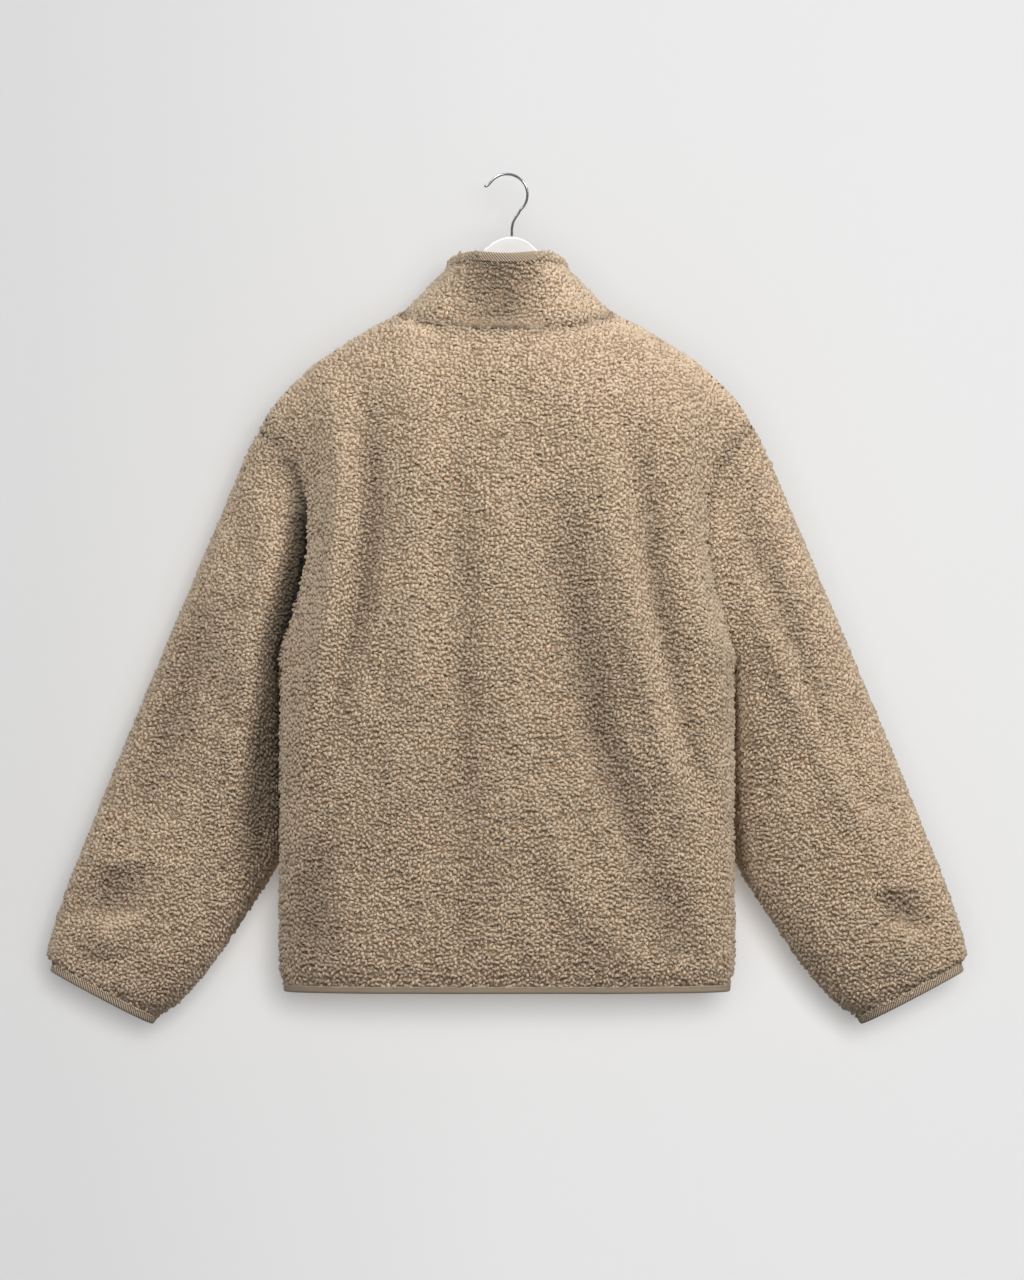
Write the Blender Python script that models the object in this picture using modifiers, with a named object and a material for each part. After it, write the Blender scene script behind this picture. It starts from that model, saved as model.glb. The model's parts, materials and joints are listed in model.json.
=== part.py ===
"""A sherpa fleece jacket with a stand collar, zipped up and hung on a rounded hanger.

Metres, +Z up. The jacket's back faces +Y and its front, with the zip, faces -Y. The wearer's
left is +X. The origin is under the crest of the hanger's hook, where a rail carries it.

Each panel is a grid of points. Its outer points come from the body, sleeve or collar surface
below, and its inner points lie one cloth thickness inside them. Panels share the points of
their seams, and part there by GAP.
"""

import math

import bmesh
import bpy
import numpy as np

# ---------------------------------------------------------------- driving dimensions
WALL = 0.006  # fleece with its pile
GAP = 0.0003  # between neighbouring pieces
BINDING_WALL = 0.0046  # folded tape over the edge of the fleece

HEM_Z = -0.8405  # lower edge of the panels
HEM_BINDING_HEIGHT = 0.0075
SHOULDER_END = (0.2545, -0.2595)  # x, z where the shoulder seam meets the armhole
UNDERARM_Z = -0.514
ARMHOLE_HALF_DEPTH = {1: 0.026, -1: 0.042}  # in the back, where the seam lies sunk, and front
ARMHOLE_RISE = 0.65  # share of the armhole over which it opens to its full depth
SHOULDER_ROUNDING = 0.110  # drop over which the cloth turns from the seam into the panel
SHOULDER_SHARE = 0.28  # share of a panel's height over which its columns spread to the seam
UNDERARM_SHARE = (UNDERARM_Z - HEM_Z) / (SHOULDER_END[1] - HEM_Z)
ARMHOLE_NORMAL_OUT = 0.3  # lean of the armhole's edge at the shoulder
ZIP_EDGE = 1e-9  # the column at the zip is this far round from the centre, on its own side

NECK_HALF_WIDTH = 0.108
NECK_POINT_Z = -0.141
NECK_SHARE = 0.45  # share of a half panel's columns that end at the neckline
NECK_NORMAL_RISE = 0.7  # lean of the neckline's edge
NECK_BLEND = 0.22  # share of the rounding over which the neckline's curve spreads out
NECK = {  # depth of the neckline from the shoulder seam, and its drop at the centre
    1: {"depth": 0.052, "drop": 0.019},
    -1: {"depth": 0.066, "drop": 0.030},
}

COLLAR_TOP_HALF_WIDTH = 0.064
COLLAR_TOP_MID_Y = -0.008
COLLAR_TOP_DEPTH = {1: 0.064, -1: 0.056}
COLLAR_TOP_SIDE_Z = -0.0975
COLLAR_TOP_RISE = {1: 0.003, -1: -0.018}  # centre above or below the sides
COLLAR_TOP_WAVE = 0.004  # the edge stands highest between centre back and side
COLLAR_WAIST = 0.067  # share of its depth by which the collar is hollow half way up
COLLAR_LIFT = 1.3 * GAP  # parts the slanted seam by GAP
COLLAR_BINDING_LEAN = 0.5  # share of the collar's slope that its binding keeps
COLLAR_BINDING_HEIGHT = 0.0105

CUFF_BINDING_HEIGHT = 0.0094

ZIP_HALF_GAP = 0.0065  # from the centre line to the edge of each front
ZIP_TAPE_REACH = 0.0170
ZIP_TAPE_WALL = 0.0012
ZIP_CHAIN_HALF_WIDTH = 0.0030
ZIP_CHAIN_WALL = 0.0035
ZIP_TAPE_SETBACK = WALL + 0.0008  # behind the outside of the fronts
ZIP_CHAIN_SETBACK = WALL - 0.0015

ZIP_CLEARANCE = 0.0004  # between the chain and the slider or the bottom box
BOTTOM_BOX_SIZE = (0.0110, 0.0035, 0.0120)
SLIDER_Z = -0.1430
SLIDER_SIZE = (0.0090, 0.0040, 0.0120)
SLIDER_EDGE = 0.0008
PIN_DROP = 0.0030  # below the slider's upper end
SLIDER_CHEEK_WALL = 0.0012
PIN_RADIUS = 0.0008
PIN_STANDOFF = 0.0028  # from the slider's face to the pin
EYE_BORE = 0.0012
EYE_RADIUS = 0.0021
TAB_HALF_WIDTH = 0.0022
TAB_HALF_WALL = 0.0008
TAB_LENGTH = 0.0280

HANGER_X = -0.005  # the hook stands a little to the wearer's right
HANGER_WALL = 0.012
HANGER_EDGE = 0.002
HANGER_CREST_Z = -0.064
HANGER_CLEARANCE = 0.0130  # under the outside of the shoulder seam
HANGER_ARM_HEIGHT = 0.024
HANGER_END_X = 0.192
HANGER_TIP = ((0.000, 0.20), (0.002, 0.55), (-0.008, 0.85))  # past the end, share of height
HOOK_WIRE_RADIUS = 0.0013
HOOK_RADIUS = 0.0212  # of the wire's centre line

# Shoulder seam, from the neck point outwards.
SHOULDER = {
    "x": (0.108, 0.126, 0.147, 0.179, 0.202, 0.218, 0.2345, 0.2465, 0.2545),
    "z": (-0.141, -0.150, -0.1615, -0.1815, -0.197, -0.2125, -0.2285, -0.244, -0.2595),
}

# Body sections by the height of their side edge: half width, depth of back and of front.
BODY = (
    # z, half_width, back, front
    (-0.8405, 0.2330, 0.050, 0.048),
    (-0.8250, 0.2372, 0.054, 0.052),
    (-0.7900, 0.2385, 0.057, 0.055),
    (-0.7000, 0.2375, 0.060, 0.058),
    (-0.6000, 0.2375, 0.063, 0.060),
    (-0.5140, 0.2370, 0.065, 0.062),
    (-0.4700, 0.2260, 0.066, 0.062),
    (-0.4300, 0.2150, 0.067, 0.061),
    (-0.3800, 0.2075, 0.067, 0.060),
    (-0.3400, 0.2075, 0.066, 0.059),
    (-0.3150, 0.2140, 0.066, 0.058),
    (-0.2900, 0.2290, 0.066, 0.058),
    (-0.2595, 0.2545, 0.066, 0.058),
)

# Sleeve sections from armhole to cuff: their upper (outer) and lower (inner) ends, and their depth.
SLEEVE = (
    # x_out, z_out, x_in, z_in, y_mid, half_depth
    (0.2545, -0.2595, 0.2370, -0.5140, 0.000, 0.050),
    (0.2700, -0.2870, 0.2398, -0.5240, -0.013, 0.055),
    (0.2890, -0.3310, 0.2362, -0.5380, -0.026, 0.058),
    (0.3110, -0.3810, 0.2325, -0.5620, -0.036, 0.058),
    (0.3360, -0.4400, 0.2290, -0.5960, -0.041, 0.056),
    (0.3620, -0.5005, 0.2260, -0.6340, -0.044, 0.053),
    (0.3885, -0.5640, 0.2250, -0.6680, -0.043, 0.049),
    (0.4145, -0.6270, 0.2310, -0.6980, -0.041, 0.046),
    (0.4380, -0.6860, 0.2430, -0.7250, -0.037, 0.043),
    (0.4560, -0.7310, 0.2600, -0.7520, -0.033, 0.040),
    (0.4690, -0.7680, 0.2810, -0.7840, -0.030, 0.038),
    (0.4775, -0.7970, 0.3030, -0.8160, -0.028, 0.036),
    (0.4800, -0.8100, 0.3260, -0.8450, -0.027, 0.034),
    (0.4785, -0.8150, 0.3450, -0.8640, -0.026, 0.032),
    (0.4735, -0.8187, 0.3640, -0.8762, -0.025, 0.028),
)
SLEEVE_FLATNESS = 0.4  # how much flatter than an ellipse a section is at its outer edge
SEAM_NORMAL_FADE = 0.17
SEAM_FADE = 0.28  # share of the sleeve over which it leaves the armhole's own shape
FOLD_FADE = {"armhole": 0.12, "cuff": 0.10}  # share of the sleeve over which folds start and end
HEM_FADE = {"height": 0.05, "left_at_hem": 0.25}  # folds soften towards the hem

# Folds, each a ridge (or, with a negative height, a trough) that runs down the cloth from z_top
# to z_low through three places across it.
FOLDS = {
    "back": (
        # z_top, z_low, x_top, x_mid, x_low, half_width, height
        (-0.205, -0.640, 0.186, 0.183, 0.230, 0.0180, 0.0170),
        (-0.225, -0.600, 0.148, 0.146, 0.196, 0.0160, -0.0080),
        (-0.225, -0.720, 0.098, 0.096, 0.124, 0.0230, 0.0070),
        (-0.250, -0.835, 0.046, 0.042, 0.040, 0.0170, -0.0050),
        (-0.250, -0.800, -0.003, -0.003, -0.010, 0.0220, 0.0040),
        (-0.320, -0.770, -0.060, -0.090, -0.165, 0.0220, -0.0090),
        (-0.235, -0.745, -0.095, -0.135, -0.212, 0.0180, 0.0090),
        (-0.250, -0.660, -0.140, -0.160, -0.208, 0.0150, -0.0080),
        (-0.205, -0.580, -0.188, -0.200, -0.234, 0.0170, 0.0140),
        (-0.620, -0.840, -0.028, -0.064, -0.140, 0.0240, 0.0055),
        (-0.725, -0.825, -0.165, -0.172, -0.180, 0.0250, -0.0060),
        (-0.680, -0.838, 0.200, 0.203, 0.206, 0.0240, -0.0060),
    ),
    "front": (
        (-0.215, -0.600, 0.178, 0.172, 0.220, 0.0160, 0.0110),
        (-0.225, -0.560, 0.146, 0.150, 0.190, 0.0150, -0.0060),
        (-0.250, -0.800, 0.075, 0.085, 0.100, 0.0200, 0.0050),
        (-0.215, -0.560, -0.184, -0.190, -0.228, 0.0150, 0.0110),
        (-0.240, -0.640, -0.140, -0.152, -0.200, 0.0150, -0.0060),
        (-0.300, -0.780, -0.070, -0.090, -0.130, 0.0190, 0.0050),
    ),
    "sleeve_back": (
        (-0.300, -0.730, 0.240, 0.268, 0.306, 0.0200, 0.0090),
        (-0.420, -0.680, 0.305, 0.345, 0.390, 0.0220, -0.0060),
        (-0.715, -0.775, 0.400, 0.415, 0.425, 0.0300, -0.0080),
        (-0.765, -0.815, 0.405, 0.413, 0.420, 0.0230, 0.0070),
        (-0.300, -0.640, -0.236, -0.290, -0.350, 0.0180, -0.0070),
        (-0.400, -0.730, -0.250, -0.312, -0.400, 0.0180, 0.0080),
        (-0.740, -0.790, -0.400, -0.412, -0.425, 0.0240, -0.0080),
        (-0.770, -0.835, -0.408, -0.412, -0.405, 0.0110, 0.0060),
    ),
    "sleeve_front": (
        (-0.360, -0.700, 0.270, 0.300, 0.340, 0.0180, 0.0060),
        (-0.700, -0.790, 0.390, 0.410, 0.425, 0.0260, -0.0060),
        (-0.340, -0.690, -0.262, -0.300, -0.345, 0.0180, 0.0060),
        (-0.710, -0.800, -0.385, -0.405, -0.420, 0.0260, -0.0060),
    ),
}
# Bulges, and a hollow with a negative height, in the back of the collar.
COLLAR_DENTS = (
    # x, half_width, height, on the back of the collar
    (0.012, 0.0420, -0.0090),
    (-0.066, 0.0180, 0.0060),
    (0.068, 0.0160, 0.0030),
)

# Hook, below the round part: the wire swings back to the stem.
HOOK_TIP = ((0.0232, -0.0104), (0.0212, -0.0112))
HOOK_ARC = (36.0, 228.0)  # degrees, from the tip's side over the crest
HOOK_ARC_STEPS = 20
HOOK_STEM = (
    # x, z
    (-0.0113, -0.0405),
    (-0.0081, -0.0452),
    (-0.0060, -0.0500),
    (-0.0051, -0.0555),
    (-0.0050, -0.0600),
)

# Upper outline of the hanger's hump, from its crest to where the arm starts.
HANGER_HUMP = (
    # x from the crest, z
    (0.000, -0.0640),
    (0.014, -0.0672),
    (0.026, -0.0760),
    (0.034, -0.0855),
    (0.052, -0.1050),
    (0.076, -0.1310),
)
HANGER_ARM_TOP = (0.108, 0.130, 0.155, 0.178)
HANGER_BOTTOM = (
    # x, z
    (0.150, -0.2030),
    (0.105, -0.1790),
    (0.060, -0.1560),
    (0.020, -0.1440),
)

# How finely the cloth is divided.
NECK_COLUMNS = 7
SHOULDER_COLUMNS = 11
HEM_ROW = 0.026  # share of the height, of an extra row close to the hem
LOWER_ROWS = 10
ARMHOLE_ROWS = 10
SLEEVE_RINGS = 17
COLLAR_ROWS = 4

COLOURS = {
    # linear colour, roughness, metallic
    "fleece": ((0.42, 0.31, 0.20), 0.95, 0.0),
    "binding": ((0.50, 0.40, 0.28), 0.80, 0.0),
    "zip_tape": ((0.40, 0.31, 0.21), 0.85, 0.0),
    "zip_plastic": ((0.34, 0.26, 0.18), 0.40, 0.0),
    "zip_metal": ((0.62, 0.60, 0.56), 0.30, 1.0),
    "hanger_white": ((0.85, 0.85, 0.84), 0.35, 0.0),
    "chrome": ((0.75, 0.75, 0.76), 0.12, 1.0),
}


# ---------------------------------------------------------------- shape functions
def smooth(keys, values, at):
    """Reads a table with a smooth curve that passes its rows without overshooting."""
    keys = np.asarray(keys, float)
    values = np.asarray(values, float)
    if keys[0] > keys[-1]:
        keys, values = keys[::-1], values[::-1]
    step = np.diff(keys)
    rise = np.diff(values) / step
    slope = np.zeros(len(keys))
    slope[0], slope[-1] = rise[0], rise[-1]
    before, after = rise[:-1], rise[1:]
    turning = before * after <= 0
    total = np.where(turning, 1.0, before + after)
    slope[1:-1] = np.where(turning, 0.0, 2 * before * after / total)
    at = np.clip(at, keys[0], keys[-1])
    i = np.clip(np.searchsorted(keys, at) - 1, 0, len(keys) - 2)
    f = (at - keys[i]) / step[i]
    return (
        values[i] * (1 + 2 * f) * (1 - f) ** 2
        + slope[i] * step[i] * f * (1 - f) ** 2
        + values[i + 1] * f**2 * (3 - 2 * f)
        + slope[i + 1] * step[i] * f**2 * (f - 1)
    )


def ease(x):
    """0 below 0, 1 above 1, and smooth between."""
    x = np.clip(x, 0, 1)
    return x * x * (3 - 2 * x)


def column(table, index):
    return [row[index] for row in table]


def relief(x, z, folds):
    """Height of the folds at a place on the cloth."""
    height = np.zeros(np.broadcast(x, z).shape)
    for z_top, z_low, x_top, x_mid, x_low, half_width, rise in folds:
        s = (z_top - z) / (z_top - z_low)
        centre = (
            x_top * (1 - s) * (1 - 2 * s) + 4 * x_mid * s * (1 - s) + x_low * s * (2 * s - 1)
        )
        along = np.sin(np.pi * np.clip(s, 0, 1)) ** 0.8
        across = np.exp(-(((x - centre) / half_width) ** 2))
        height = height + rise * along * across
    return height


def top_edge(c, side):
    """Neckline and shoulder seam of a half panel, from the centre (c = 0) to the armhole (1)."""
    neck = NECK[side]
    turn = np.clip(c / NECK_SHARE, 0, 1) * np.pi / 2
    along = np.clip((c - NECK_SHARE) / (1 - NECK_SHARE), 0, 1)
    outer = NECK_HALF_WIDTH + (SHOULDER_END[0] - NECK_HALF_WIDTH) * along
    in_neck = c < NECK_SHARE
    x = np.where(in_neck, NECK_HALF_WIDTH * np.sin(turn), outer)
    y = neck["depth"] * np.where(in_neck, np.cos(turn), 0)
    seam_z = smooth(SHOULDER["x"], SHOULDER["z"], outer)
    z = np.where(in_neck, NECK_POINT_Z - neck["drop"] * np.cos(turn), seam_z)
    return x, y, z


def armhole_share(t):
    """How far up the armhole a row is, from 0 at the underarm to 1 at the shoulder."""
    return np.clip((t - UNDERARM_SHARE) / (1 - UNDERARM_SHARE), 0, 1)


def zip_shift(c):
    """The fronts stop short of the centre line, and flow back to it towards the shoulder."""
    return ZIP_HALF_GAP * np.clip(1 - c / NECK_SHARE, 0, 1) ** 2


def body(c, t, side):
    """Outside of the back (side 1) or front (-1): c runs -1 to 1 across, t hem to shoulder."""
    hand = np.sign(c)
    c = np.abs(c)
    x_top, y_top, z_top = top_edge(c, side)
    z = HEM_Z + t * (z_top - HEM_Z)
    edge_z = HEM_Z + t * (SHOULDER_END[1] - HEM_Z)
    z_rows = column(BODY, 0)
    width = smooth(z_rows, column(BODY, 1), edge_z)
    depth = smooth(z_rows, column(BODY, 2 if side > 0 else 3), edge_z)
    to_top = ease((t - 1) / SHOULDER_SHARE + 1)
    # Just under the seam the neckline's curve spreads out into the shoulder.
    drop = np.clip((z_top - z) / SHOULDER_ROUNDING, 0, 1)
    near = ease(drop / NECK_BLEND)
    even = NECK_HALF_WIDTH * c / NECK_SHARE
    x_top = np.where(c < NECK_SHARE, x_top * (1 - near) + even * near, x_top)
    x = c * width * (1 - to_top) + x_top * width / SHOULDER_END[0] * to_top
    rise = np.minimum(armhole_share(t) / ARMHOLE_RISE, 1)
    at_armhole = ARMHOLE_HALF_DEPTH[side] * np.sqrt(1 - (1 - rise) ** 2)
    across = np.clip(x / width, 0, 1)
    full = np.sqrt(depth**2 * (1 - across**4) + at_armhole**2 * across**8)
    share = y_top / NECK[side]["depth"] * (1 - near) + (1 - ease(c / (2 * NECK_SHARE))) * near
    turn = (1 - (1 - drop) ** 2) ** (0.5 + 0.5 * share)
    y = NECK[side]["depth"] * share * (1 - turn) + full * turn
    folds = FOLDS["back" if side > 0 else "front"]
    settled = ease((z - HEM_Z) / HEM_FADE["height"] + HEM_FADE["left_at_hem"])
    y = y + relief(hand * x, z, folds) * turn * (1 - across**10) * settled
    if side < 0:
        x = x + zip_shift(c)
    return np.stack(np.broadcast_arrays(hand * x, side * (y + GAP / 2), z), axis=-1)


def sleeve_section(key, h, turn, side):
    """One point of a sleeve section, before it is drawn to the armhole."""
    rows = np.arange(len(SLEEVE))
    x_out, z_out, x_in, z_in, y_mid, half_depth = (
        smooth(rows, column(SLEEVE, i), key) for i in range(6)
    )
    x = x_in + (x_out - x_in) * h
    z = z_in + (z_out - z_in) * h
    y = y_mid + side * half_depth * np.sin(turn) ** (1 - SLEEVE_FLATNESS * h)
    return x, y, z


def sleeve(s, w, side, hand):
    """Outside of a sleeve: s runs armhole to cuff, w underarm to shoulder."""
    turn = np.pi * w
    h = (1 - np.cos(turn)) / 2
    x, y, z = sleeve_section(s * (len(SLEEVE) - 1), h, turn, side)
    x0, y0, z0 = sleeve_section(0.0 * s, h, turn, side)
    seam = body(np.ones_like(h), UNDERARM_SHARE + (1 - UNDERARM_SHARE) * h, side)
    fade = 1 - ease(s / SEAM_FADE)
    x = x + (seam[..., 0] - x0) * fade + GAP * fade
    y = y + (seam[..., 1] - y0) * fade
    z = z + (seam[..., 2] - z0) * fade
    folds = FOLDS["sleeve_back" if side > 0 else "sleeve_front"]
    settled = ease(s / FOLD_FADE["armhole"]) * ease((1 - s) / FOLD_FADE["cuff"])
    y = y + side * relief(hand * x, z, folds) * settled * np.sin(turn) ** 0.5
    return np.stack(np.broadcast_arrays(hand * x, y, z), axis=-1)


def armhole_normal(w, side):
    """Outward direction at the armhole seam of the +X side, shared by panel and sleeve."""
    turn = np.pi * np.asarray(w, float)
    n = np.stack(
        [ARMHOLE_NORMAL_OUT * (1 - np.cos(turn)) / 2, side * np.sin(turn), -np.cos(turn)],
        axis=-1,
    )
    return n / np.linalg.norm(n, axis=-1, keepdims=True)


def collar(c, v, side):
    """Outside of the collar: c as in the neckline (0 to NECK_SHARE, signed), v seam to edge."""
    hand = np.where(c < 0, -1.0, 1.0)
    c = np.abs(c)
    turn = np.clip(c / NECK_SHARE, 0, 1) * np.pi / 2
    x0, y0, z0 = top_edge(np.minimum(c, NECK_SHARE * 0.999999), side)
    x1 = COLLAR_TOP_HALF_WIDTH * np.sin(turn)
    y1 = COLLAR_TOP_DEPTH[side] * np.cos(turn)
    z1 = (
        COLLAR_TOP_SIDE_Z
        + COLLAR_TOP_RISE[side] * np.cos(turn) ** 2
        + COLLAR_TOP_WAVE * np.sin(2 * turn) ** 2 * (side > 0)
    )
    waist = 1 - COLLAR_WAIST * np.sin(np.pi * np.clip(v, 0, 1)) * np.cos(turn) ** 2
    x = x0 + (x1 - x0) * v
    y = side * (y0 + (y1 - y0) * v) * waist + COLLAR_TOP_MID_Y * v
    if side > 0:
        bulge = sum(up * np.exp(-(((hand * x - at) / wide) ** 2)) for at, wide, up in COLLAR_DENTS)
        y = y + bulge * np.cos(turn) ** 0.5 * ease(v / 0.12) * (1 - 0.75 * v)
    z = z0 + (z1 - z0) * v + COLLAR_LIFT
    if side < 0:
        x = x + zip_shift(c)
    return np.stack(np.broadcast_arrays(hand * x, y, z), axis=-1)


def neck_normal(c, side):
    """Outward direction at the neckline, shared by panel and collar."""
    turn = np.clip(np.abs(c) / NECK_SHARE, 0, 1) * np.pi / 2
    rise = NECK_NORMAL_RISE * np.ones_like(turn)
    out = np.stack([np.sign(c) * np.sin(turn), side * np.cos(turn), rise], axis=-1)
    return out / np.linalg.norm(out, axis=-1, keepdims=True)


def shoulder_normal(c):
    """Outward direction at the shoulder seam, square to its slope."""
    x, _, _ = top_edge(np.abs(c), 1)
    ahead = smooth(SHOULDER["x"], SHOULDER["z"], x + 0.002)
    behind = smooth(SHOULDER["x"], SHOULDER["z"], x - 0.002)
    fall = (behind - ahead) / 0.004
    n = np.stack([np.sign(c) * fall, 0 * x, 1 + 0 * x], axis=-1)
    return n / np.linalg.norm(n, axis=-1, keepdims=True)


# ---------------------------------------------------------------- grids and solids
def neck_columns():
    return np.maximum(NECK_SHARE * np.arange(NECK_COLUMNS + 1) / NECK_COLUMNS, ZIP_EDGE)


def half_columns():
    k = np.arange(1, SHOULDER_COLUMNS + 1) / SHOULDER_COLUMNS
    shoulder = NECK_SHARE + (1 - NECK_SHARE) * (1 - (1 - k) ** 1.5)
    return np.concatenate([neck_columns(), shoulder])


def body_rows():
    low = UNDERARM_SHARE * np.arange(1, LOWER_ROWS + 1) / LOWER_ROWS
    h = (1 - np.cos(np.pi * np.arange(1, ARMHOLE_ROWS + 1) / ARMHOLE_ROWS)) / 2
    return np.concatenate([[0, HEM_ROW], low, UNDERARM_SHARE + (1 - UNDERARM_SHARE) * h])


def grid_normals(grid, outward):
    """Unit normals of a grid of points, turned to the side that outward points to."""
    n = np.cross(np.gradient(grid, axis=1), np.gradient(grid, axis=0))
    n /= np.linalg.norm(n, axis=-1, keepdims=True)
    flip = np.sign((n * outward).sum(axis=-1, keepdims=True))
    return n * np.where(flip == 0, 1, flip)


def body_grid(columns, rows, side):
    """Outer and inner points of a panel, rows by columns."""
    c, t = np.meshgrid(columns, rows)
    outer = body(c, t, side)
    n = grid_normals(outer, np.stack([0 * c, side + 0 * c, 0 * c], axis=-1))
    for j in (0, len(columns) - 1):
        if abs(columns[j]) < 1:
            continue
        hand = np.sign(columns[j])
        turn = np.arccos(1 - 2 * armhole_share(rows)) / np.pi
        at_armhole = armhole_normal(turn, side) * [hand, 1, 1]
        below = rows < rows[-1 - ARMHOLE_ROWS] - 1e-9
        n[:, j] = np.where(below[:, None], [hand, 0, 0], at_armhole)
    in_neck = np.abs(columns) < NECK_SHARE - 1e-9
    n[-1] = np.where(in_neck[:, None], neck_normal(columns, side), shoulder_normal(columns))
    at_neck_point = np.abs(np.abs(columns) - NECK_SHARE) < 1e-9
    n[-1][at_neck_point] = neck_normal(columns, side)[at_neck_point]
    for j in (0, len(columns) - 1):
        if abs(columns[j]) == 1:
            n[-1, j] = armhole_normal(1.0, side) * [np.sign(columns[j]), 1, 1]
    n[0, :, 2] = 0
    n[0] /= np.linalg.norm(n[0], axis=-1, keepdims=True)
    return outer, outer - WALL * n


def material(name):
    if name in bpy.data.materials:
        return bpy.data.materials[name]
    colour, roughness, metallic = COLOURS[name]
    made = bpy.data.materials.new(name)
    made.use_nodes = True
    shader = made.node_tree.nodes["Principled BSDF"]
    shader.inputs["Base Color"].default_value = (*colour, 1)
    shader.inputs["Roughness"].default_value = roughness
    shader.inputs["Metallic"].default_value = metallic
    return made


def link(name, data, look, collection):
    data.name = name
    data.materials.append(material(look))
    made = bpy.data.objects.new(name, data)
    collection.objects.link(made)
    return made


def wall_object(name, outer, inner, look, collection, closed=False):
    """A closed wall between two grids of points. A closed grid joins its last column to its first."""
    rows, columns = outer.shape[:2]
    bm = bmesh.new()
    out, into = (
        [[bm.verts.new(p) for p in row] for row in skin.tolist()] for skin in (outer, inner)
    )
    spans = [(j, (j + 1) % columns) for j in range(columns if closed else columns - 1)]
    for i in range(rows - 1):
        for j, k in spans:
            bm.faces.new((out[i][j], out[i][k], out[i + 1][k], out[i + 1][j]))
            bm.faces.new((into[i + 1][j], into[i + 1][k], into[i][k], into[i][j]))
    rims = [((i, j), (i, k)) for i in (0, rows - 1) for j, k in spans]
    if not closed:
        rims += [((i, j), (i + 1, j)) for j in (0, columns - 1) for i in range(rows - 1)]
    for low, high in rims:
        # Both pieces of a seam part a twisted rim the same way: from its lower outer corner.
        if out[low[0]][low[1]].co.z > out[high[0]][high[1]].co.z:
            low, high = high, low
        a, b = out[low[0]][low[1]], out[high[0]][high[1]]
        c, d = into[high[0]][high[1]], into[low[0]][low[1]]
        bm.faces.new((a, b, c))
        bm.faces.new((a, c, d))
    bmesh.ops.recalc_face_normals(bm, faces=bm.faces)
    mesh = bpy.data.meshes.new(name)
    bm.to_mesh(mesh)
    bm.free()
    mesh.shade_smooth()
    mesh.set_sharp_from_angle(angle=math.radians(50))
    return link(name, mesh, look, collection)


def strip_rows(edge_outer, edge_inner, run, height, wall):
    """A binding's outer and inner rows: from an edge, along run, with a rounded far edge."""
    middle = (edge_outer + edge_inner) / 2
    across = edge_outer - edge_inner
    across = across / np.linalg.norm(across, axis=-1, keepdims=True) * wall / 2
    profile = ((0.0, 1.0), (0.75, 1.0), (1.0, 0.55))
    start = middle + run * GAP
    outer = np.stack([start + run * height * f + across * g for f, g in profile])
    inner = np.stack([start + run * height * f - across * g for f, g in profile])
    return outer, inner


# ---------------------------------------------------------------- pieces
def add_body(collection):
    half, rows = half_columns(), body_rows()
    across = np.concatenate([-half[:0:-1], half])
    grids = {
        "back": body_grid(across, rows, 1),
        "front_left": body_grid(half, rows, -1),
        "front_right": body_grid(-half[::-1], rows, -1),
    }
    grids["front_left"][1][:, 0, 0] = ZIP_HALF_GAP
    grids["front_right"][1][:, -1, 0] = -ZIP_HALF_GAP
    for name, (outer, inner) in grids.items():
        wall_object(name, outer, inner, "fleece", collection)
    return grids


def add_hem_binding(grids, collection):
    pieces = [grids["front_left"], grids["back"], grids["front_right"]]
    order = (slice(None), slice(-2, 0, -1), slice(None))
    outer = np.concatenate([g[0][0][o] for g, o in zip(pieces, order)])
    inner = np.concatenate([g[1][0][o] for g, o in zip(pieces, order)])
    run = np.tile([0.0, 0.0, -1.0], (len(outer), 1))
    outer_rows, inner_rows = strip_rows(outer, inner, run, HEM_BINDING_HEIGHT, BINDING_WALL)
    wall_object("hem_binding", outer_rows, inner_rows, "binding", collection)


def add_collar(collection):
    half = neck_columns()
    stops = [(c, -1) for c in half] + [(c, 1) for c in half[-2::-1]]
    stops += [(-c, 1) for c in half[1:]] + [(-c, -1) for c in half[-2::-1]]
    v = np.arange(COLLAR_ROWS + 1) / COLLAR_ROWS
    outer = np.stack([collar(np.full_like(v, c), v, side) for c, side in stops], axis=1)
    middle = outer.mean(axis=(0, 1))
    n = grid_normals(outer, (outer - middle) * [1, 1, 0])
    n[0] = [neck_normal(c, side) for c, side in stops]
    n[-1, :, 2] = 0
    n[-1] /= np.linalg.norm(n[-1], axis=-1, keepdims=True)
    inner = outer - WALL * n
    inner[:, 0, 0] = ZIP_HALF_GAP
    inner[:, -1, 0] = -ZIP_HALF_GAP
    wall_object("collar", outer, inner, "fleece", collection)
    run = outer[-1] - outer[-2]
    run = run / np.linalg.norm(run, axis=-1, keepdims=True)
    run = run * [COLLAR_BINDING_LEAN, COLLAR_BINDING_LEAN, 1]
    rows = strip_rows(outer[-1], inner[-1], run, COLLAR_BINDING_HEIGHT, BINDING_WALL)
    wall_object("collar_binding", *rows, "binding", collection)


def cuff_direction(hand):
    """Out of the cuff, square to its edge."""
    x_out, z_out, x_in, z_in = SLEEVE[-1][:4]
    run = np.array([hand * (z_out - z_in), 0, x_in - x_out])
    return run / np.linalg.norm(run)


def sleeve_normals(outer, s, seam, run):
    """Outward directions of a sleeve, drawn to the seam's at the armhole and square to the cuff."""
    ring = np.concatenate([outer[:, -1:], outer, outer[:, :1]], axis=1)
    n = np.cross(ring[:, 2:] - ring[:, :-2], np.gradient(outer, axis=0))
    n *= np.sign((n * (outer - outer.mean(axis=1, keepdims=True))).sum())
    n /= np.linalg.norm(n, axis=-1, keepdims=True)
    share = ease(s / SEAM_NORMAL_FADE)[:, None, None]
    n = seam * (1 - share) + n * share
    n[-1] -= run * (n[-1] @ run)[:, None]
    return n / np.linalg.norm(n, axis=-1, keepdims=True)


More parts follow.
